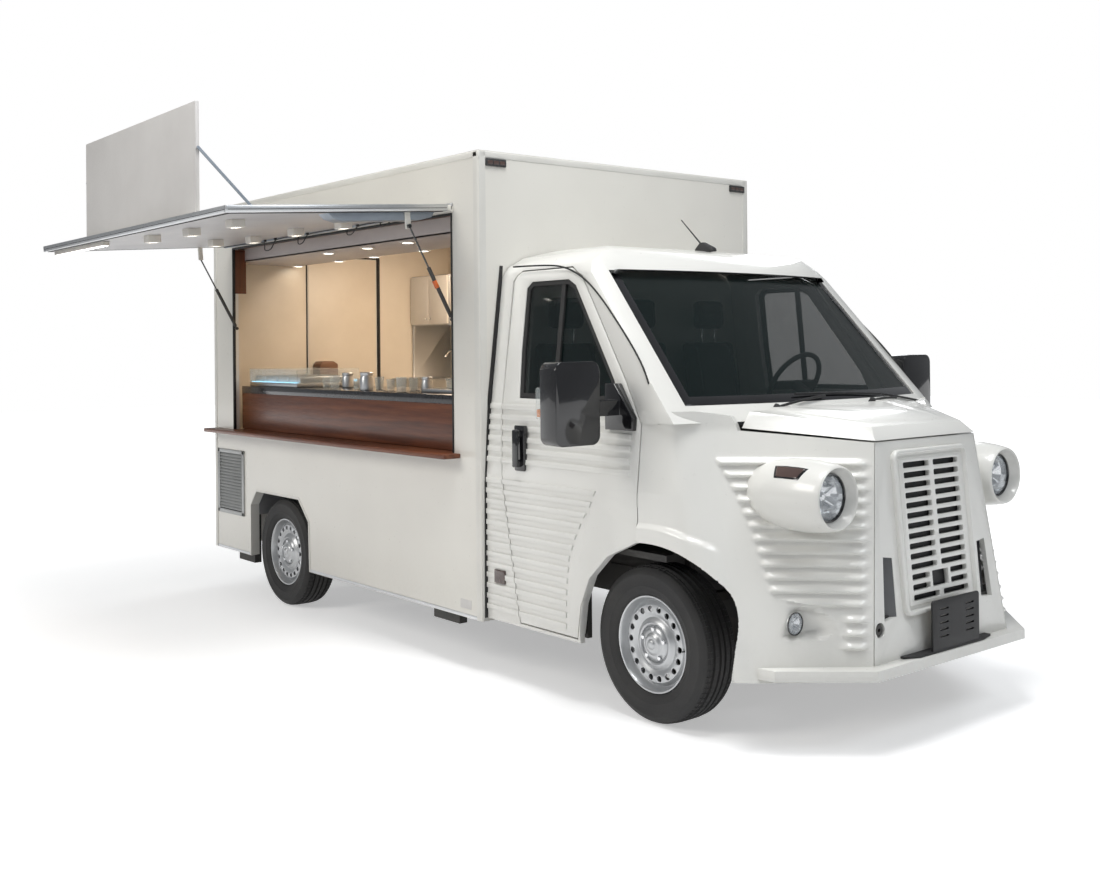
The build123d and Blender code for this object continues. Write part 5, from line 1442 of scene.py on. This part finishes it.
def dress_kitchen():
    rear, front = INSIDE_X
    top = CEILING_Z
    thick = 0.004
    strips("rear_wall_sheets", [
        ((rear, rear + thick), (-INSIDE_Y, -0.322), (FLOOR_Z, top)),
        ((rear, rear + thick), (0.322, INSIDE_Y), (FLOOR_Z, top)),
        ((rear, rear + thick), (-0.322, 0.322), (2.44, top))], "chassis", lining, 0.0008)
    strips("rear_door_sheet", [((rear, rear + thick), (-0.3, 0.3), (0.65, 2.424))], "rear_door",
            lining, 0.0008)
    strips("wall_joints", [
        ((rear, rear + 0.008), (-0.322, -0.311), (FLOOR_Z, 2.452)),
        ((rear, rear + 0.012), (0.311, 0.335), (FLOOR_Z, 2.6)),
        ((rear, rear + 0.008), (-0.322, 0.322), (2.432, 2.442))],
        "chassis", seal_rubber, 0.002)
    strips("side_wall_sheets", [
        ((rear + thick, front - thick), (INSIDE_Y - thick, INSIDE_Y), (FLOOR_Z, top)),
        ((front - thick, front), (-INSIDE_Y, INSIDE_Y), (FLOOR_Z, top)),
        ((OPENING_X[1], front - thick), (-INSIDE_Y, -INSIDE_Y + thick), (FLOOR_Z, top)),
        ((rear + thick, OPENING_X[0]), (-INSIDE_Y, -INSIDE_Y + thick), (FLOOR_Z, top)),
        ((OPENING_X[0], OPENING_X[1]), (-INSIDE_Y, -INSIDE_Y + thick), (OPENING_Z[1] + 0.01, top))],
        "chassis", lining, 0.0008)
    strips("ceiling_sheet", [((rear, front), (-INSIDE_Y, INSIDE_Y), (top - thick, top))], "chassis",
            ceiling_grey, 0.0008)
    spots, rings = [], []
    ring = [(0.036, -0.004), (0.038, -0.011), (0.05, -0.008), (0.052, -0.004), (0.036, -0.004)]
    for x in (-4.05, -3.3, -2.55, -1.8):
        for y in (-0.42, 0.42):
            spots.append(bar("spot", (x, y, top - 0.0095), (x, y, top - 0.004), 0.036, 28, 0.002))
            rings.append(turned("ring", ring, (x, y, top), 32, (0, 0, 1)))
    settle(merged(spots, "ceiling_spots"), "chassis", spot_glow)
    settle(merged(rings, "ceiling_spot_rings"), "chassis", white_unit)
    left, right = OPENING_X
    stone = [((left + 0.001, right - 0.001), (-0.982, -0.4), (1.4385, 1.456))]
    strips("counter_top", stone, "chassis", counter_stone, 0.004)
    strips("counter_edge", [((left + 0.001, right - 0.001), (-0.989, -0.978), (1.406, 1.4565))], "chassis",
            counter_stone, 0.003)
    strips("counter_front", [((left + 0.002, right - 0.002), (-0.987, -0.979), (1.1535, 1.4065))],
            "chassis", wood, 0.001)
    soffit = [((rear, front), (-0.958, -0.41), (2.352, 2.362)),
              ((rear, front), (-0.42, -0.41), (2.352, top)),
              ((rear, front), (-0.958, -0.95), (2.352, 2.56))]
    strips("soffit", soffit, "chassis", ceiling_grey, 0.001)
    faces = [bar("spot", (x, y, 2.3475), (x, y, 2.353), 0.034, 28, 0.001) for x, y in SOFFIT_SPOTS]
    collar = [(0.034, 2.352), (0.035, 2.345), (0.046, 2.347), (0.048, 2.352), (0.034, 2.352)]
    collars = [turned("collar", collar, (x, y, 0), 32, (0, 0, 1)) for x, y in SOFFIT_SPOTS]
    settle(merged(faces, "soffit_spots"), "chassis", spot_glow)
    settle(merged(collars, "soffit_spot_rings"), "chassis", white_unit)
    glass_case(left)
    ware(left, right)
    sink()


def glass_case(left):
    "Cooled display of glass on the counter's rear end, with blue light strips."
    x = (left + 0.03, left + 0.75)
    y = (-0.94, -0.46)
    z = 1.456
    strips("display_base", [(x, y, (z, z + 0.03))], "chassis", stainless, 0.003)
    walls = (z + 0.03, z + 0.12)
    panes = [(x, (y[0], y[0] + 0.005), walls), ((x[0], x[0] + 0.005), y, walls),
             ((x[1] - 0.005, x[1]), y, walls), (x, y, (z + 0.12, z + 0.125))]
    strips("display_panes", panes, "chassis", clear_glass, 0.001)
    along = (x[0] + 0.01, x[1] - 0.01)
    strips("display_light", [(along, (y[1] - 0.02, y[1] - 0.008), (z + 0.034, z + 0.048)),
                             (along, (y[0] + 0.01, y[0] + 0.018), (z + 0.031, z + 0.036))],
           "chassis", blue_glow, 0.002)
    tubs = []
    for k in range(4):
        low = x[0] + 0.02 + 0.174 * k
        tub = slab("tub", (low, low + 0.16), (y[0] + 0.03, y[1] - 0.03), (z + 0.03, z + 0.075), 0.01, 3)
        tubs.append(sunk(tub, faces_up, 0.01, -0.03))
    settle(merged(tubs, "display_tubs"), "chassis", stainless)


def ware(left, right):
    "Cups, jars and a brown dispenser along the counter."
    cup = turned("cup", [(0.0, 0.0), (0.026, 0.0), (0.029, 0.004), (0.036, 0.088), (0.0375, 0.092),
            (0.0345, 0.091), (0.0275, 0.008), (0.0, 0.006)], (0, 0, 0), 28, (0, 0, 1))
    jar = turned("jar", [(0.0, 0.0), (0.04, 0.0), (0.045, 0.006), (0.046, 0.08), (0.04, 0.092), (0.04, 0.1),
            (0.044, 0.102), (0.044, 0.116), (0.04, 0.12), (0.0, 0.121)], (0, 0, 0), 32, (0, 0, 1))
    cups, jars = [], []
    for k in range(11):
        x = left + 0.9 + 0.135 * k
        y = -0.8 + 0.1 * math.sin(2.1 * k)
        place = Matrix.Translation((x, y, 1.456)) @ Matrix.Scale(0.75 + 0.1 * (k % 3), 4)
        if k % 4 == 1:
            jars.append(copied(jar, "jar", place))
        else:
            cups.append(copied(cup, "cup", place))
    settle(merged(cups, "counter_cups"), "chassis", clear_glass)
    settle(merged(jars, "counter_jars"), "chassis", stainless)
    for master in (cup, jar):
        bpy.data.objects.remove(master)
    rear = INSIDE_X[0]
    box = plate("towel_box", [(-0.27, 1.478), (-0.255, 1.46), (-0.125, 1.46), (-0.108, 1.478),
            (-0.112, 1.6), (-0.15, 1.622), (-0.245, 1.622), (-0.268, 1.6)], "YZ", rear + 0.004,
            rear + 0.125, 0.01, 3)
    settle(box, "rear_door", brown_plastic)
    tray = slab("tray", (right - 0.6, right - 0.1), (-0.86, -0.52), (1.456, 1.478), 0.006, 3)
    settle(sunk(tray, faces_up, 0.008, -0.014), "chassis", stainless)


def sink():
    "Steel worktop round the bowl, tap, and the wall cabinet's door and light strip."
    rear = INSIDE_X[0]
    x = (rear + 0.45, rear + 0.89)
    y = (INSIDE_Y - 0.45, INSIDE_Y - 0.11)
    z = 1.47
    edge, wall = INSIDE_Y - 0.57, INSIDE_Y - 0.006
    sheet = (z, z + 0.006)
    strips("sink_worktop", [
        ((rear + 0.012, x[0] + 0.004), (edge, wall), sheet),
        ((x[1] - 0.004, INSIDE_X[1] - 0.105), (edge, wall), sheet),
        (x, (edge, y[0] + 0.004), sheet), (x, (y[1] - 0.004, wall), sheet)],
        "chassis", stainless, 0.0015)
    middle = rear + 0.3
    neck = swept("neck", [(middle, 0.93, 1.476), (middle, 0.93, 1.6), (middle - 0.005, 0.925, 1.7),
            (middle + 0.02, 0.78, 1.7), (middle + 0.03, 0.745, 1.64)], 0.011, 3, 4)
    foot = bar("foot", (middle, 0.93, 1.474), (middle, 0.93, 1.52), 0.024, 28, 0.004)
    lever = bar("lever", (middle, 0.93, 1.54), (middle + 0.09, 0.9, 1.585), 0.006, 14, 0.002)
    settle(merged([neck, foot, lever], "sink_tap"), "chassis", chrome)
    doors = [slab("door", (low, high), (INSIDE_Y - 0.388, INSIDE_Y - 0.371), (1.908, 2.292), 0.004)
             for low, high in ((rear + 0.016, rear + 0.276), (rear + 0.284, rear + 0.544))]
    knobs = [bar("knob", (spot, INSIDE_Y - 0.402, 1.95), (spot, INSIDE_Y - 0.386, 1.95), 0.009, 18, 0.003)
             for spot in (rear + 0.25, rear + 0.31)]
    settle(merged(doors, "cabinet_doors"), "chassis", white_unit)
    settle(merged(knobs, "cabinet_knobs"), "chassis", chrome)
    strips("amber_strip", [((rear + 0.004, rear + 0.02), (INSIDE_Y - 0.012, INSIDE_Y - 0.004),
            (1.49, 1.9))], "chassis", amber_glow, 0.002)


dress_kitchen()


# Hatch: edge profiles, seal, spot lamps, bracket and clipped wiring

HATCH_LAMPS = [(-3.345, 0.479), (-3.085, 0.345), (-2.506, 0.351), (-1.997, 0.321), (-2.339, 1.063),
        (-2.818, 1.097), (-1.784, 1.066)]
WIRE_LOOPS = [(-3.45, -3.3, 0.08), (-2.98, -2.86, 0.07), (-2.36, -2.24, 0.06), (-1.98, -1.86, 0.04)]


def dress_hatch():
    rear, front = HATCH_X
    high = HATCH_T + 0.004
    tip = -HATCH_LEN - 0.0006
    edges = [slab("edge", x, y, (-0.003, high), 0.004)
             for x, y in (((front - 0.018, front + 0.003), (tip, -0.022)),
                          ((rear - 0.003, rear + 0.018), (tip, -0.022)),
                          ((rear, front), (tip, -HATCH_LEN + 0.018)))]
    grooves = [slab("groove", (front - 0.002, front + 0.0045), (-HATCH_LEN + 0.01, -0.03), (0.012, 0.015),
                    0.001),
               slab("groove", (rear + 0.01, front - 0.01), (-HATCH_LEN - 0.0012, -HATCH_LEN + 0.002),
                    (0.012, 0.015), 0.0005)]
    on_hatch(merged(edges, "hatch_edge"), aluminium)
    on_hatch(merged(grooves, "hatch_grooves"), seal_rubber)
    seals = [slab("seal", x, y, (-0.0055, 0.002), 0.003)
             for x, y in (((front - 0.034, front - 0.018), (-HATCH_LEN + 0.02, -0.04)),
                          ((rear + 0.018, rear + 0.034), (-HATCH_LEN + 0.02, -0.04)),
                          ((rear + 0.02, front - 0.02), (-HATCH_LEN + 0.018, -HATCH_LEN + 0.034)))]
    on_hatch(merged(seals, "hatch_seal"), seal_rubber)
    sheet = slab("hatch_underside", (rear + 0.034, front - 0.034), (-HATCH_LEN + 0.034, -0.04),
            (-0.0035, 0.001), 0.001)
    on_hatch(sheet, hatch_grey)
    housings, faces = [], []
    for x, out in HATCH_LAMPS:
        housing = slab("housing", (x - 0.038, x + 0.038), (-out - 0.038, -out + 0.038), (-0.046, -0.002),
                0.006, 3)
        housings.append(sunk(housing, faces_down, 0.007, 0.006))
        faces.append(slab("face", (x - 0.028, x + 0.028), (-out - 0.028, -out + 0.028), (-0.0425, -0.038),
                0.001))
    on_hatch(merged(housings, "hatch_lamps"), white_unit)
    on_hatch(merged(faces, "hatch_lamp_faces"), spot_glow)
    bracket = plate("hatch_bracket", [(-0.07, -0.001), (-0.09, -0.03), (-0.17, -0.046), (-0.64, -0.046),
            (-0.69, -0.03), (-0.72, -0.001)], "YZ", front - 0.16, front - 0.056, 0.004)
    on_hatch(bracket, stay_paint)
    tube = slab("hatch_light_body", (rear + 0.05, rear + 0.95), (-HATCH_LEN + 0.05, -HATCH_LEN + 0.095),
            (-0.03, -0.003), 0.006, 3)
    on_hatch(tube, white_unit)
    glow = slab("hatch_light", (rear + 0.06, rear + 0.94), (-HATCH_LEN + 0.056, -HATCH_LEN + 0.089),
            (-0.032, -0.026), 0.004, 2)
    on_hatch(glow, spot_glow)
    wire = [(rear + 0.06, -0.075, -0.008)]
    clips = []
    for low, high, drop in WIRE_LOOPS:
        wire += [(low, -0.085, -0.01), (low + 0.01, -0.095, -0.5 * drop), (low + 0.03, -0.11, -drop),
                (high - 0.03, -0.11, -drop), (high - 0.01, -0.095, -0.5 * drop), (high, -0.085, -0.01)]
        clips += [slab("clip", (x - 0.008, x + 0.008), (-0.094, -0.078), (-0.018, -0.002), 0.002)
                  for x in (low, high)]
    wire += [(front - 0.2, -0.08, -0.01)]
    rail = slab("hatch_cable_rail", (rear + 0.04, front - 0.16), (-0.066, -0.05), (-0.014, -0.002), 0.003)
    on_hatch(rail, stay_paint)
    on_hatch(swept("hatch_wiring", wire, 0.0035, 3, 2), black_plastic)
    on_hatch(merged(clips, "wiring_clips"), black_plastic)
    front_x = front - 0.038
    low = Vector((front_x, -1.043, 1.872))
    run = Vector((0, -0.1435, 0.272))
    start, stop = run.length * 0.62, run.length * 0.76
    sleeve = turned("strut_sleeve", [(0.0108, start), (0.012, start), (0.013, start + 0.002),
            (0.013, stop - 0.002), (0.012, stop), (0.0108, stop), (0.0108, start)], low, 32, run)
    settle(sleeve, body_of["strut_cylinders"], orange_plastic)
    nodes["strut_rods"].data.materials[0] = black_gloss
    rain = slab("rain_strip", (rear, front), (HATCH_AXIS[0] - 0.002, -BOX_HALF_W),
            (HATCH_AXIS[1] + 0.022, HATCH_AXIS[1] + 0.04), 0.004, 3)
    settle(rain, "chassis", aluminium)


dress_hatch()


# Floor, light and camera

def studio():
    deselect()
    bpy.ops.mesh.primitive_plane_add(size=60, location=(0, 0, 0))
    ground = bpy.context.active_object
    ground.name = "studio_floor"
    made, shader = material_base("studio_floor", 0.6)
    shader.inputs["Base Color"].default_value = (0.82, 0.82, 0.82, 1)
    path = add_node(made, "ShaderNodeLightPath")
    seen = add_node(made, "ShaderNodeMath", operation="MAXIMUM")
    link(made, path.outputs["Is Camera Ray"], seen.inputs[0])
    link(made, path.outputs["Is Glossy Ray"], seen.inputs[1])
    seen_too = add_node(made, "ShaderNodeMath", operation="MAXIMUM")
    link(made, seen.outputs[0], seen_too.inputs[0])
    link(made, path.outputs["Is Transmission Ray"], seen_too.inputs[1])
    away = add_node(made, "ShaderNodeVectorMath", operation="LENGTH")
    link(made, stretched(made), away.inputs[0])
    lift = add_node(made, "ShaderNodeMath", operation="MULTIPLY")
    link(made, spread(made, away.outputs["Value"], 0.42, 1.0, 3.2, 9.0), lift.inputs[1])
    link(made, seen_too.outputs[0], lift.inputs[0])
    shader.inputs["Emission Color"].default_value = (1, 1, 1, 1)
    link(made, lift.outputs[0], shader.inputs["Emission Strength"])
    ground.data.materials.append(made)

    world = bpy.data.worlds.new("studio")
    bpy.context.scene.world = world
    world.use_nodes = True
    world.node_tree.nodes.clear()
    path = add_node(world, "ShaderNodeLightPath")
    lit = add_node(world, "ShaderNodeBackground", Color=(0.93, 0.96, 1.0, 1), Strength=0.3)
    white = add_node(world, "ShaderNodeBackground", Color=(1, 1, 1, 1), Strength=1.0)
    either = add_node(world, "ShaderNodeMath", operation="MAXIMUM")
    link(world, path.outputs["Is Camera Ray"], either.inputs[0])
    link(world, path.outputs["Is Transmission Ray"], either.inputs[1])
    mix = add_node(world, "ShaderNodeMixShader")
    out = add_node(world, "ShaderNodeOutputWorld")
    link(world, either.outputs[0], mix.inputs["Fac"])
    link(world, lit.outputs[0], mix.inputs[1])
    link(world, white.outputs[0], mix.inputs[2])
    link(world, mix.outputs[0], out.inputs["Surface"])


def soft_light(name, place, aim, power, size, colour=(1, 1, 1)):
    lamp = bpy.data.lights.new(name, "AREA")
    lamp.energy = power
    lamp.size = size
    lamp.color = colour
    lamp_object = bpy.data.objects.new(name, lamp)
    bpy.context.scene.collection.objects.link(lamp_object)
    lamp_object.location = place
    lamp_object.rotation_euler = (Vector(aim) - Vector(place)).to_track_quat("-Z", "Y").to_euler()
    return lamp_object


def lights():
    soft_light("key_light", (-1.5, -9.0, 6.5), (0, 0, 1.2), 350, 4.0, (1.0, 0.97, 0.92))
    soft_light("front_light", (7.5, 0.5, 7.0), (0.8, 0, 1.0), 120, 2.5, (0.92, 0.96, 1.0))
    soft_light("top_light", (2.6, -1.2, 7.6), (1.2, -0.4, 0), 320, 2.6)
    soft_light("back_light", (-5.0, 8.0, 5.5), (-0.5, 0, 1.2), 300, 5.0, (0.96, 0.98, 1.0))
    soft_light("galley_light", (-1.1, 0.45, 2.66), (-1.1, 0.45, 0.5), 46, 1.4, (1.0, 0.8, 0.6))


def camera():
    data = bpy.data.cameras.new("camera")
    data.sensor_width = 36.0
    data.sensor_fit = "HORIZONTAL"
    data.lens = 39.648
    data.shift_y = -0.0921
    data.clip_end = 200
    view = bpy.data.objects.new("camera", data)
    bpy.context.scene.collection.objects.link(view)
    right = Vector((0.632213, 0.77473, -0.009984))
    up = Vector((0.01135, 0.003624, 0.999929))
    back = right.cross(up)
    turn = Matrix((right, up, back)).transposed().to_4x4()
    view.matrix_world = Matrix.Translation((5.77457, -4.31504, 1.71815)) @ turn
    bpy.context.scene.camera = view


studio()
lights()
camera()
bpy.context.scene.view_settings.view_transform = "Standard"
